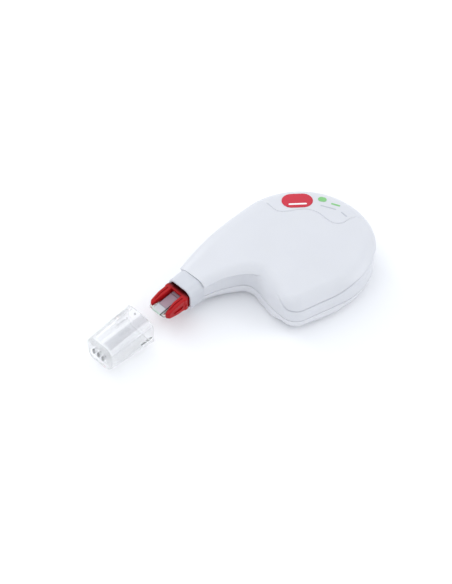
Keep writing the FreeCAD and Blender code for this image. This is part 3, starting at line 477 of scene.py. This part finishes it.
def upper_shell(rim, edge):
    across = LID_ACROSS - LID_ACROSS_NECK_LOSS * edge.neck
    first = np.radians(LID_ANGLE - LID_ANGLE_NECK_LOSS * edge.neck)
    crease_drop = edge.rim_z - edge.crease_z
    down = crease_drop / (1 - np.sin(first))
    scoop_down = edge.rim_z - SCOOP_FOOT_Z

    def ring(inset, drop):
        """A ring at a drop below the dome, with the scoop worked into it."""
        rise = np.clip(1 - drop / scoop_down, 0, 1)
        scooped = SCOOP_ACROSS * (1 - np.sqrt(1 - rise ** 2)) - SCOOP_BULGE
        return rim.ring(inset * (1 - edge.scoop) + scooped * edge.scoop, lambda xy: top_height(xy) - drop)

    def band_rings():
        for inset, z in UPPER_LIP:
            yield rim.ring(edge.foot_in + inset, PARTING_Z + z)
        low = edge.rim_z - PARTING_Z - UPPER_LIP[-1, 1]
        high = crease_drop + edge.gap
        shoulder = np.maximum(edge.lid_in + SHOULDER_BEHIND_LID - edge.foot, 0)
        for share in BAND_SHARES:
            drop = low + (high - low) * share
            rise = np.clip(1 - (drop - high) / SHOULDER, 0, 1)
            yield ring(edge.foot + shoulder * (1 - np.sqrt(1 - rise ** 2)), drop)

    def crease_rings():
        """From the foot of the crease to its lip; the shares are of its gap, from the top down."""
        yield ring(np.maximum(edge.lid_in, edge.foot) + edge.cut, crease_drop + edge.gap * 0.97)
        for inset, share in ((edge.cut, 0.03), (CREASE_LIP, 0.0), (0.0, -0.25)):
            yield ring(edge.lid_in + inset, crease_drop + edge.gap * share)

    def lid_rings():
        for share in LID_SHARES:
            angle = first + (math.pi / 2 - first) * share
            yield ring(edge.lid_in + across * (np.cos(first) - np.cos(angle)), down * (1 - np.sin(angle)))
        yield ring(edge.lid_in + across * np.cos(first) + LID_LEVEL_RUN, 0.0)

    shape = Shape()
    inside = inner_rings(rim, edge, UPPER_INNER_ACROSS, UPPER_INNER_DOWN, ceiling, -1,
                         PARTING_Z + UPPER_LIP[0, 1])
    inner, outer = shape.loft([*inside, *band_rings(), *crease_rings(), *lid_rings()])
    shape.fill(inner, INNER_MESH, ceiling)
    spots, sides = panel_border(BORDER_MESH)
    border = [spots + sides * PANEL_EDGE * row for row in BORDER_ROWS]
    shape.fill(outer, TOP_MESH, top_height, np.vstack(border))
    return shape.piece("casing_upper", NECK_END_X)


# ---------------------------------------------------------------- lower shell
LOWER_INNER_ACROSS, LOWER_INNER_DOWN = 4.0 * MM, 3.6 * MM
# inset and depth below the parting plane of the small step along the shell's upper edge, inside first
LOWER_LIP = np.array([(0.30, 0.02), (0.28, 0.10), (0.04, 0.14), (0.0, 0.2)]) * MM
LOWER_ROUNDING = 5.6 * MM              # half axes of the rounding below, inwards and upwards alike
# what is added to the one inwards and to the one upwards where the rim changes
ACROSS_AT_NECK, ACROSS_AT_CORNER, ACROSS_AT_SCOOP = -1.2 * MM, 1.5 * MM, -2.6 * MM
UPWARDS_AT_CORNER, UPWARDS_AT_SCOOP = 1.2 * MM, -2.2 * MM
ROOM_AT_PARTING = 0.3 * MM             # the rounding ends at least this far below the parting plane
WALL_SHARES = (0.25, 0.5, 0.75)
ROUNDING_ANGLES = np.radians(np.linspace(0, 88, 16))
UNDERSIDE_MESH = 1.5 * MM
DENT_DEPTH = 0.9 * MM
DENT_FULL_SHARE = 0.8                  # of the way down the wall, where the dent reaches its depth
DENT_FALL_OFF = 1.5                    # power with which it ends along the rounding
DENT_FROM, DENT_TO = (-108.0, -100.0), (-78.0, -52.0)      # directions in which it begins and ends


def thumb_dent(points):
    """Weight of the shallow hollow on the belly side of the lower shell."""
    angle = np.degrees(np.arctan2(points[:, 1], points[:, 0]))
    return smooth(*DENT_FROM, angle) * (1 - smooth(*DENT_TO, angle))


def lower_shell(rim, edge):
    room = PARTING_Z - ROOM_AT_PARTING - rim.ring(0, underside)[:, 2]
    across = (LOWER_ROUNDING + ACROSS_AT_NECK * edge.neck + ACROSS_AT_CORNER * edge.corner
              + ACROSS_AT_SCOOP * edge.scoop)
    upwards = LOWER_ROUNDING + UPWARDS_AT_CORNER * edge.corner + UPWARDS_AT_SCOOP * edge.scoop
    down = np.minimum(upwards, room)
    hollow = DENT_DEPTH * thumb_dent(rim.points)

    def outer_rings():
        for inset, z in LOWER_LIP:
            yield rim.ring(edge.foot_in + inset, PARTING_Z - z)
        wall_top = PARTING_Z - LOWER_LIP[-1, 1]
        wall_foot = rim.ring(edge.foot_in, underside)[:, 2] + down
        for share in WALL_SHARES:
            yield rim.ring(edge.foot_in + hollow * smooth(0, DENT_FULL_SHARE, share),
                           wall_top + (wall_foot - wall_top) * share)
        for angle in ROUNDING_ANGLES:
            turned = 1 - math.cos(angle)
            yield rim.ring(edge.foot_in + hollow * math.cos(angle) ** DENT_FALL_OFF + across * turned,
                           lambda xy: underside(xy) + down * (1 - math.sin(angle)), soft=turned)
        yield rim.ring(edge.foot_in + across + LEVEL_RUN, underside, soft=1.0)

    shape = Shape()
    inside = inner_rings(rim, edge, LOWER_INNER_ACROSS, np.minimum(LOWER_INNER_DOWN, room - SHELL_WALL),
                         inner_floor, 1, PARTING_Z - LOWER_LIP[0, 1])
    inner, outer = shape.loft([*inside, *outer_rings()])
    shape.fill(inner, INNER_MESH, inner_floor)
    shape.fill(outer, UNDERSIDE_MESH, underside)
    return shape.piece("casing_lower", NECK_END_X)


# ---------------------------------------------------------------- printed marks
PRINT_THICKNESS = 0.05 * MM
PATCH_TOP = 0.11 * MM                            # the red patch is this thick


def pill(centre, length, width, heading):
    """Outline of a rounded bar, anticlockwise."""
    points = []
    for end in (0, 180):
        middle = polar(centre, (length - width) / 2, heading + end)
        points += [polar(middle, width / 2, heading + end + turn) for turn in range(-90, 91, 15)]
    return np.array(points)


def printed_bar(name, centre, size, heading, base):
    """Thin plain bar that follows the dome; base is its height above the panel's floor."""
    xy = pill(np.array(centre) * MM, size[0] * MM, size[1] * MM, heading)
    floor = dome(xy) - PANEL_DEPTH + base
    shape = Shape()
    low, high = shape.loft([np.column_stack([xy, floor]), np.column_stack([xy, floor + PRINT_THICKNESS])])
    shape.faces += [tuple(low), tuple(high)]
    return shape.piece(name)


def printed_marks():
    """The stripe on the patch and the plain bars that stand for the small print beside it.

    Each has a name, a place and a size in mm, a heading, a height above the panel's floor, a material
    and a slot.
    """
    bars = [("patch_stripe", (13.0, 14.8), (7.6, 0.9), -42, PATCH_TOP, print_white(), "label_red"),
            ("print_bar_green", (24.0, 3.6), (4.0, 0.9), -65, 0, print_green(), "label_green"),
            ("print_bar_long", (20.6, 4.6), (6.8, 0.6), -65, 0, print_grey(), "label_green"),
            ("print_bar_short", (22.3, -2.6), (3.4, 0.6), -95, 0, print_grey(), "label_green")]
    for name, centre, size, heading, base, mat, slot in bars:
        piece = printed_bar(name, centre, size, heading, base)
        paint(piece, mat)
        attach(piece, "casing")


# ---------------------------------------------------------------- painted shade in the cap's slots, and the cap's ridges with their painted highlight
CAP_LOW, CAP_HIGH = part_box("cap")
CAP_AXIS = (CAP_LOW + CAP_HIGH) / 2
SHADE_FILM = 0.1 * MM                      # thickness of the dark film of painted shade inside a slot
SHADE_FILM_GAP = 0.01 * MM
VENTS = (-2.6 * MM, 0.0, 2.6 * MM)     # sideways from the axis
VENT_SIZE = (0.8 * MM, 2.2 * MM)
VENT_X = (0.05 * MM, 1.9 * MM)         # from the closed end
SNAP_X = (-6.4 * MM, -0.7 * MM)        # from the mouth
SNAP_Z = (-1.9 * MM, -1.2 * MM)        # from the axis
SNAP_Y = (6.75 * MM, 7.33 * MM)
DIMPLE_X, DIMPLE_Y = -1.7 * MM, 1.0 * MM          # from the mouth and from the axis
DIMPLE_RADIUS = 0.45 * MM
DIMPLE_Z = (6.40 * MM, 6.70 * MM)
RIDGE_CORNER = 3.7 * MM                # rounding of the cap's corners
RIDGE_TAPER = 2.0 * MM                 # the cap gets this much narrower and lower towards its closed end
RIDGE_HALF, RIDGE_SUNK, RIDGE_PROUD = 0.16 * MM, 0.06 * MM, 0.10 * MM
RIDGE_X = (-0.25 * MM, -20.4 * MM)     # from the mouth


def cap_highlight_ridge(name, side):
    """Fine ridge along one upper corner of the cap, on the given side of its axis; its whiter, less clear
    plastic is a painted highlight along that corner.
    """
    size = CAP_HIGH - CAP_LOW
    out = np.array([0, side, 1]) * math.sqrt(0.5)
    along = np.array([0, side, -1]) * math.sqrt(0.5)
    shape = Shape()
    rings = []
    for x in RIDGE_X:
        shrink = RIDGE_TAPER / 2 * -x / size.x
        corner = np.array([CAP_HIGH.x + x, CAP_AXIS.y + side * (size.y / 2 - shrink - RIDGE_CORNER),
                           CAP_AXIS.z + size.z / 2 - shrink - RIDGE_CORNER])
        middle = corner + out * RIDGE_CORNER
        rings.append(np.array([middle - along * RIDGE_HALF - out * RIDGE_SUNK, middle + out * RIDGE_PROUD,
                               middle + along * RIDGE_HALF - out * RIDGE_SUNK]))
    first, last = shape.loft(rings)
    shape.faces += [tuple(first), tuple(last)]
    return shape.piece(name)


def shade_film(name, outer, inner, start, end):
    """Short pipe between two outlines, pushed from start to end; it is a dark film of painted shade inside
    a slot.
    """
    shape = Shape()
    first, last = shape.loft([outer + start, outer + end, inner + end, inner + start])
    shape.join(last, first)
    return shape.piece(name)


def frame_outline(size, axes):
    """Rectangle of a given size about the origin in the plane of two axes."""
    corners = np.zeros((4, 3))
    for index, (sx, sy) in enumerate(((-1, -1), (1, -1), (1, 1), (-1, 1))):
        corners[index, axes[0]] = sx * size[0] / 2
        corners[index, axes[1]] = sy * size[1] / 2
    return corners


def slot_shade_film(name, size, axes, start, end):
    outer = frame_outline([side - 2 * SHADE_FILM_GAP for side in size], axes)
    inner = frame_outline([side - 2 * SHADE_FILM_GAP - 2 * SHADE_FILM for side in size], axes)
    return shade_film(name, outer, inner, np.array(start), np.array(end))


def vent_shade_films():
    pieces = []
    for index, offset in enumerate(VENTS):
        start, end = [(CAP_LOW.x + x, CAP_AXIS.y + offset, CAP_AXIS.z) for x in VENT_X]
        pieces.append(slot_shade_film("cap_vent_%d" % index, VENT_SIZE, (1, 2), start, end))
    return pieces


def snap_shade_films():
    size = (SNAP_X[1] - SNAP_X[0], SNAP_Z[1] - SNAP_Z[0])
    x = CAP_HIGH.x + sum(SNAP_X) / 2
    z = CAP_AXIS.z + sum(SNAP_Z) / 2
    pieces = []
    for side, name in ((-1, "cap_snap_shade_front"), (1, "cap_snap_shade_back")):
        start, end = [(x, CAP_AXIS.y + side * reach, z) for reach in SNAP_Y]
        pieces.append(slot_shade_film(name, size, (0, 2), start, end))
    return pieces


def dimple_shade_film():
    angles = np.radians(np.arange(0, 360, 20))
    circle = np.column_stack([np.cos(angles), np.sin(angles), 0 * angles])
    ends = [np.array([CAP_HIGH.x + DIMPLE_X, CAP_AXIS.y + DIMPLE_Y, CAP_AXIS.z + z]) for z in DIMPLE_Z]
    radius = DIMPLE_RADIUS - SHADE_FILM_GAP
    return shade_film("cap_dimple_shade", circle * radius, circle * (radius - SHADE_FILM), *ends)


def cap_details():
    # dark films of painted shade inside the vents, the snap slots and the dimple
    shade_films = [*vent_shade_films(), *snap_shade_films(), dimple_shade_film()]
    shade_look, highlight_look = slot_painted_shade(), cap_ridge_painted_highlight()
    for piece in shade_films:
        paint(piece, shade_look)
    ridges = [cap_highlight_ridge("cap_ridge_front", -1), cap_highlight_ridge("cap_ridge_back", 1)]
    for piece in ridges:
        paint(piece, highlight_look)
    for piece in shade_films + ridges:
        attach(piece, "cap")


# ---------------------------------------------------------------- materials
DRIFT_SCALE = 60                       # of the noises, per metre
GLOSS_SCALE = 220
GRAIN_DETAIL = 6
CLEAR_DRIFT_SCALE, CLEAR_GLOSS_SCALE, CLEAR_GRAIN_SCALE = 120, 160, 300
CLEAR_GRAIN_DETAIL = 3
RED = (0.40, 0.003, 0.006)


def new_material(name):
    mat = bpy.data.materials.new(name)
    mat.use_nodes = True
    return mat


def principled(mat):
    return mat.node_tree.nodes["Principled BSDF"]


def noise(tree, scale, detail=4.0):
    """Noise fixed to the piece."""
    coords = tree.nodes.new("ShaderNodeTexCoord")
    texture = tree.nodes.new("ShaderNodeTexNoise")
    texture.inputs["Scale"].default_value = scale
    texture.inputs["Detail"].default_value = detail
    tree.links.new(coords.outputs["Object"], texture.inputs["Vector"])
    return texture.outputs["Fac"]


def ramp(tree, factor, stops):
    """Colours at positions from 0 to 1, blended between them."""
    node = tree.nodes.new("ShaderNodeValToRGB")
    elements = node.color_ramp.elements
    while len(elements) < len(stops):
        elements.new(0.5)
    for element, (position, colour) in zip(elements, stops):
        element.position = position
        element.color = (*colour, 1)
    tree.links.new(factor, node.inputs["Fac"])
    return node.outputs["Color"]


def spread(tree, factor, low, high):
    """The factor's range from 0 to 1 turned into one from low to high."""
    node = tree.nodes.new("ShaderNodeMapRange")
    node.inputs["To Min"].default_value = low
    node.inputs["To Max"].default_value = high
    tree.links.new(factor, node.inputs["Value"])
    return node.outputs["Result"]


def add_bump(tree, shader, height, distance):
    node = tree.nodes.new("ShaderNodeBump")
    node.inputs["Distance"].default_value = distance
    tree.links.new(height, node.inputs["Height"])
    tree.links.new(node.outputs["Normal"], shader.inputs["Normal"])


def span(tree, axis):
    """Position along one axis of the piece's own box, from 0 to 1."""
    coords = tree.nodes.new("ShaderNodeTexCoord")
    split = tree.nodes.new("ShaderNodeSeparateXYZ")
    tree.links.new(coords.outputs["Generated"], split.inputs["Vector"])
    return split.outputs[axis]


def fade(tree, factor, start, end):
    """0 up to the start, 1 from the end on."""
    node = tree.nodes.new("ShaderNodeMapRange")
    node.inputs["From Min"].default_value = start
    node.inputs["From Max"].default_value = end
    tree.links.new(factor, node.inputs["Value"])
    return node.outputs["Result"]


def mix_colours(tree, factor, low, high):
    """The mix node has sockets of every kind; the enabled ones are those for colours."""
    node = tree.nodes.new("ShaderNodeMix")
    node.data_type = "RGBA"
    sockets = [socket for socket in node.inputs if socket.enabled]
    for source, socket in zip((factor, low, high), sockets):
        tree.links.new(source, socket)
    return next(socket for socket in node.outputs if socket.enabled)


def moulded(name, colour, variation, roughness, grain, bump=0.01 * MM):
    """Injection-moulded plastic: slight colour drift, uneven gloss and a very fine grain."""
    mat = new_material(name)
    tree, shader = mat.node_tree, principled(mat)
    low = tuple(c * (1 - variation) for c in colour)
    high = tuple(min(1, c * (1 + variation)) for c in colour)
    drift = ramp(tree, noise(tree, DRIFT_SCALE), [(0.3, low), (0.7, high)])
    tree.links.new(drift, shader.inputs["Base Color"])
    tree.links.new(spread(tree, noise(tree, GLOSS_SCALE), *roughness), shader.inputs["Roughness"])
    add_bump(tree, shader, noise(tree, grain, GRAIN_DETAIL), bump)
    return mat


def white_casing(name, colour):
    mat = moulded(name, colour, 0.012, (0.30, 0.40), 1500, 0.012 * MM)
    shader = principled(mat)
    shader.inputs["Subsurface Weight"].default_value = 0.12
    shader.inputs["Subsurface Radius"].default_value = (2.0 * MM, 2.0 * MM, 2.4 * MM)
    shader.inputs["Coat Weight"].default_value = 0.15
    shader.inputs["Coat Roughness"].default_value = 0.25
    return mat


def collar_plastic():
    mat = moulded("collar_white", (0.60, 0.615, 0.655), 0.015, (0.26, 0.38), 1400)
    shader = principled(mat)
    shader.inputs["Subsurface Weight"].default_value = 0.3
    shader.inputs["Subsurface Radius"].default_value = (3.0 * MM, 3.0 * MM, 3.4 * MM)
    return mat


def red_plastic(name="tip_red"):
    mat = moulded(name, RED, 0.10, (0.30, 0.42), 1200, 0.012 * MM)
    shader = principled(mat)
    shader.inputs["Specular IOR Level"].default_value = 0.22
    return mat


def holder_red_painted_shade():
    """Red with painted shade: it darkens along the upper side of the tip holder where it enters the collar.
    """
    mat = red_plastic("holder_red_painted_shade")
    tree, shader = mat.node_tree, principled(mat)
    plain = shader.inputs["Base Color"].links[0].from_socket
    # painted shade: the red darkens to this along the holder's upper side beside the collar
    dark = tuple(c * 0.12 for c in RED)
    painted_shade_ramp = ramp(tree, span(tree, "X"), [(0.57, RED), (0.655, dark)])
    upper = fade(tree, span(tree, "Z"), 0.70, 0.85)
    mixed = mix_colours(tree, upper, plain, painted_shade_ramp)
    tree.links.new(mixed, shader.inputs["Base Color"])
    return mat


def clear(name, tint, alpha, roughness, ior):
    """Clear moulded plastic with the same unevenness as the opaque kind."""
    mat = new_material(name)
    tree, shader = mat.node_tree, principled(mat)
    low = tuple(c * 0.97 for c in tint)
    drift = ramp(tree, noise(tree, CLEAR_DRIFT_SCALE), [(0.35, low), (0.65, tint)])
    tree.links.new(drift, shader.inputs["Base Color"])
    tree.links.new(spread(tree, noise(tree, CLEAR_GLOSS_SCALE), *roughness), shader.inputs["Roughness"])
    shader.inputs["Transmission Weight"].default_value = 1.0
    shader.inputs["IOR"].default_value = ior
    shader.inputs["Alpha"].default_value = alpha
    add_bump(tree, shader, noise(tree, CLEAR_GRAIN_SCALE, CLEAR_GRAIN_DETAIL), 0.01 * MM)
    return mat


def clear_cap():
    """Clear plastic with painted shade and painted highlights across its upper wall: grey bands along its
    front corner, white stripes beside them, ending short of the closed end.
    """
    mat = clear("cap_clear_painted_shade", (0.975, 0.98, 0.985), 0.45, (0.08, 0.14), 1.36)
    tree, shader = mat.node_tree, principled(mat)
    plain = shader.inputs["Base Color"].links[0].from_socket
    # painted shade in the grey bands and painted highlights in the white stripes, across the cap's width
    shade_and_highlight_bands = [(0.125, (0.84, 0.845, 0.87)), (0.14, (0.84, 0.845, 0.87)), (0.15, (1.0, 1.0, 1.0)),
             (0.17, (1.0, 1.0, 1.0)), (0.19, (0.42, 0.425, 0.46)), (0.42, (0.50, 0.505, 0.54)),
             (0.47, (1.0, 1.0, 1.0)), (0.95, (0.90, 0.905, 0.925))]
    upper = fade(tree, span(tree, "Z"), 0.6, 0.75)
    painted_shade_and_highlight = mix_colours(tree, upper, plain, ramp(tree, span(tree, "Y"), shade_and_highlight_bands))
    behind_end = fade(tree, span(tree, "X"), 0.09, 0.15)
    mixed = mix_colours(tree, behind_end, plain, painted_shade_and_highlight)
    tree.links.new(mixed, shader.inputs["Base Color"])
    return mat


def slot_painted_shade():
    """Thin dark film that stands for the shade inside the cap's slots."""
    mat = moulded("slot_painted_shade", (0.12, 0.12, 0.14), 0.1, (0.4, 0.5), 2000)
    shader = principled(mat)
    shader.inputs["Alpha"].default_value = 0.36
    return mat


def cap_ridge_painted_highlight():
    # painted highlight: whiter and less clear than the cap, for the bright line along its corners
    mat = moulded("cap_highlight_ridge", (0.93, 0.935, 0.95), 0.02, (0.3, 0.4), 2000)
    shader = principled(mat)
    shader.inputs["Alpha"].default_value = 0.85
    return mat


def tape_white():
    return moulded("tape_white", (0.86, 0.86, 0.87), 0.02, (0.55, 0.7), 3000)


def nose_tape_painted_shade():
    """The tape is white; along the nose its colour is painted: greenish grey at the front edge, grey on
    top, then a dark line and pinkish grey behind it, both painted shade.
    """
    mat = moulded("nose_tape_painted_shade", (0.86, 0.86, 0.87), 0.02, (0.55, 0.7), 3000)
    tree, shader = mat.node_tree, principled(mat)
    # painted shade: the dark line and the pinkish grey behind it, on tape that is white
    stops = [(0.0, (0.46, 0.58, 0.50)), (0.05, (0.52, 0.60, 0.56)), (0.08, (0.56, 0.55, 0.58)),
             (0.33, (0.50, 0.50, 0.54)), (0.36, (0.20, 0.18, 0.21)), (0.39, (0.34, 0.235, 0.285)),
             (1.0, (0.30, 0.20, 0.245))]
    tree.links.new(ramp(tree, span(tree, "X"), stops), shader.inputs["Base Color"])
    return mat


def shaded_tape():
    """The fresh tape in the neck: white tape painted in the same pinkish dark grey of painted shade as the
    tape behind the nose.
    """
    return moulded("shaded_tape", (0.30, 0.20, 0.245), 0.05, (0.5, 0.65), 3000)


def carrier_film():
    return moulded("carrier_film", (0.72, 0.68, 0.62), 0.03, (0.3, 0.45), 2000, 0.008 * MM)


def print_red():
    return moulded("print_red", (0.55, 0.015, 0.04), 0.05, (0.3, 0.42), 2500, 0.006 * MM)


def print_green():
    return moulded("print_green", (0.22, 0.55, 0.20), 0.06, (0.35, 0.5), 2500, 0.006 * MM)


def print_grey():
    return moulded("print_grey", (0.50, 0.52, 0.57), 0.05, (0.35, 0.5), 2500, 0.006 * MM)


def print_white():
    return moulded("print_white", (0.88, 0.88, 0.89), 0.01, (0.3, 0.42), 2500, 0.006 * MM)


def inner_plastic():
    return moulded("inner_grey", (0.5, 0.51, 0.53), 0.03, (0.4, 0.55), 900)


def inner_white():
    return moulded("inner_white", (0.75, 0.76, 0.78), 0.02, (0.4, 0.5), 900)


def spring_steel():
    mat = moulded("spring_steel", (0.55, 0.55, 0.57), 0.05, (0.2, 0.35), 1800)
    shader = principled(mat)
    shader.inputs["Metallic"].default_value = 1.0
    return mat


def paint(target, mat):
    mesh = target.data
    mesh.materials.clear()
    mesh.materials.append(mat)


# ---------------------------------------------------------------- stage
FLOOR_HALF = 3.0


def stage():
    """The white ground under the roller."""
    mesh = bpy.data.meshes.new("floor")
    corners = [(FLOOR_HALF * sx, FLOOR_HALF * sy, 0) for sx, sy in ((-1, -1), (1, -1), (1, 1), (-1, 1))]
    mesh.from_pydata(corners, [], [(0, 1, 2, 3)])
    floor = bpy.data.objects.new("floor", mesh)
    bpy.context.scene.collection.objects.link(floor)
    mat = new_material("floor_white")
    tree, shader = mat.node_tree, principled(mat)
    tree.links.new(ramp(tree, noise(tree, 3), [(0.3, (0.93, 0.935, 0.95)), (0.7, (0.94, 0.945, 0.96))]),
                   shader.inputs["Base Color"])
    shader.inputs["Roughness"].default_value = 0.6
    shader.inputs["Specular IOR Level"].default_value = 0.2
    paint(floor, mat)


def area_light(name, place, target, size, power):
    """A white rectangular lamp; metres and watts."""
    light = bpy.data.lights.new(name, "AREA")
    light.shape = "RECTANGLE"
    light.size, light.size_y = size
    light.energy = power
    lamp = bpy.data.objects.new(name, light)
    lamp.location = place
    lamp.rotation_euler = (Vector(target) - Vector(place)).to_track_quat("-Z", "Y").to_euler()
    bpy.context.scene.collection.objects.link(lamp)


def lights():
    world = bpy.data.worlds.new("studio")
    world.use_nodes = True
    background = world.node_tree.nodes["Background"]
    background.inputs["Color"].default_value = (0.93, 0.96, 1.0, 1)
    background.inputs["Strength"].default_value = 0.90
    bpy.context.scene.world = world
    area_light("key", (-0.05, 0.75, 1.1), (-0.03, 0, 0), (1.2, 1.2), 2.4)
    area_light("low", (0.05, 1.15, 0.65), (-0.03, 0, 0), (0.7, 0.4), 3.0)
    area_light("fill", (0.7, -0.7, 0.6), (0, 0, 0), (0.9, 0.9), 3.0)
    area_light("neck", (-0.45, -0.10, 0.55), (-0.05, 0.01, 0), (0.5, 0.5), 0.5)


CAMERA_AZIMUTH, CAMERA_ELEVATION = -45.0, 49.0
CAMERA_DISTANCE = 0.6
CAMERA_FOCAL = 92.47                   # in mm, as the sensor
SENSOR_WIDTH = 36.0
CAMERA_AIM = Vector((-36.65, 7.07, 9.0)) * MM


def camera():
    a, e = math.radians(CAMERA_AZIMUTH), math.radians(CAMERA_ELEVATION)
    back = Vector((math.sin(a) * math.cos(e), -math.cos(a) * math.cos(e), math.sin(e)))
    data = bpy.data.cameras.new("camera")
    data.lens = CAMERA_FOCAL
    data.sensor_width = SENSOR_WIDTH
    data.clip_start = 0.01
    lens = bpy.data.objects.new("camera", data)
    lens.location = CAMERA_AIM + back * CAMERA_DISTANCE
    lens.rotation_euler = (-back).to_track_quat("-Z", "Y").to_euler()
    bpy.context.scene.collection.objects.link(lens)
    bpy.context.scene.camera = lens
    bpy.context.scene.view_settings.view_transform = "Standard"


# ---------------------------------------------------------------- build
def main():
    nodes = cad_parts
    rim = Rim(RIM_STEP)
    edge = Edge(rim)
    upper = upper_shell(rim, edge)
    paint(upper, white_casing("casing_white", (0.655, 0.665, 0.70)))
    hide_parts("upper_shell")
    lower = lower_shell(rim, edge)
    # the lower shell is the same white plastic, painted lighter than the upper one for the light on its
    # lower side
    paint(lower, white_casing("casing_white_low_painted_lighter", (0.70, 0.706, 0.738)))
    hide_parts("lower_shell")
    for piece in (upper, lower):
        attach(piece, "casing")

    grey, pale, film = inner_plastic(), inner_white(), carrier_film()
    looks = {
        "nose_collar": collar_plastic(),
        "tip_holder": holder_red_painted_shade(), "tip_pivot_pin": red_plastic(), "cap": clear_cap(),
        "applicator_nose": clear("nose_clear", (0.80, 0.90, 0.84), 0.8, (0.10, 0.18), 1.45),
        "brand_patch": print_red(), "eco_mark": print_green(), "clutch_spring": spring_steel(),
        "supply_gear": grey, "spool_retainer": grey, "takeup_retainer": grey,
        "guide_roller_supply": grey, "guide_roller_return": grey,
        "supply_spool": pale, "takeup_spool": pale, "tape_roll": tape_white(), "tape_on_nose": nose_tape_painted_shade(),
        "tape_run_supply": shaded_tape(), "spent_tape_roll": film, "tape_run_return": film,
    }
    for node, mat in looks.items():
        paint(nodes[node], mat)
    printed_marks()
    cap_details()

    stage()
    lights()
    camera()


main()
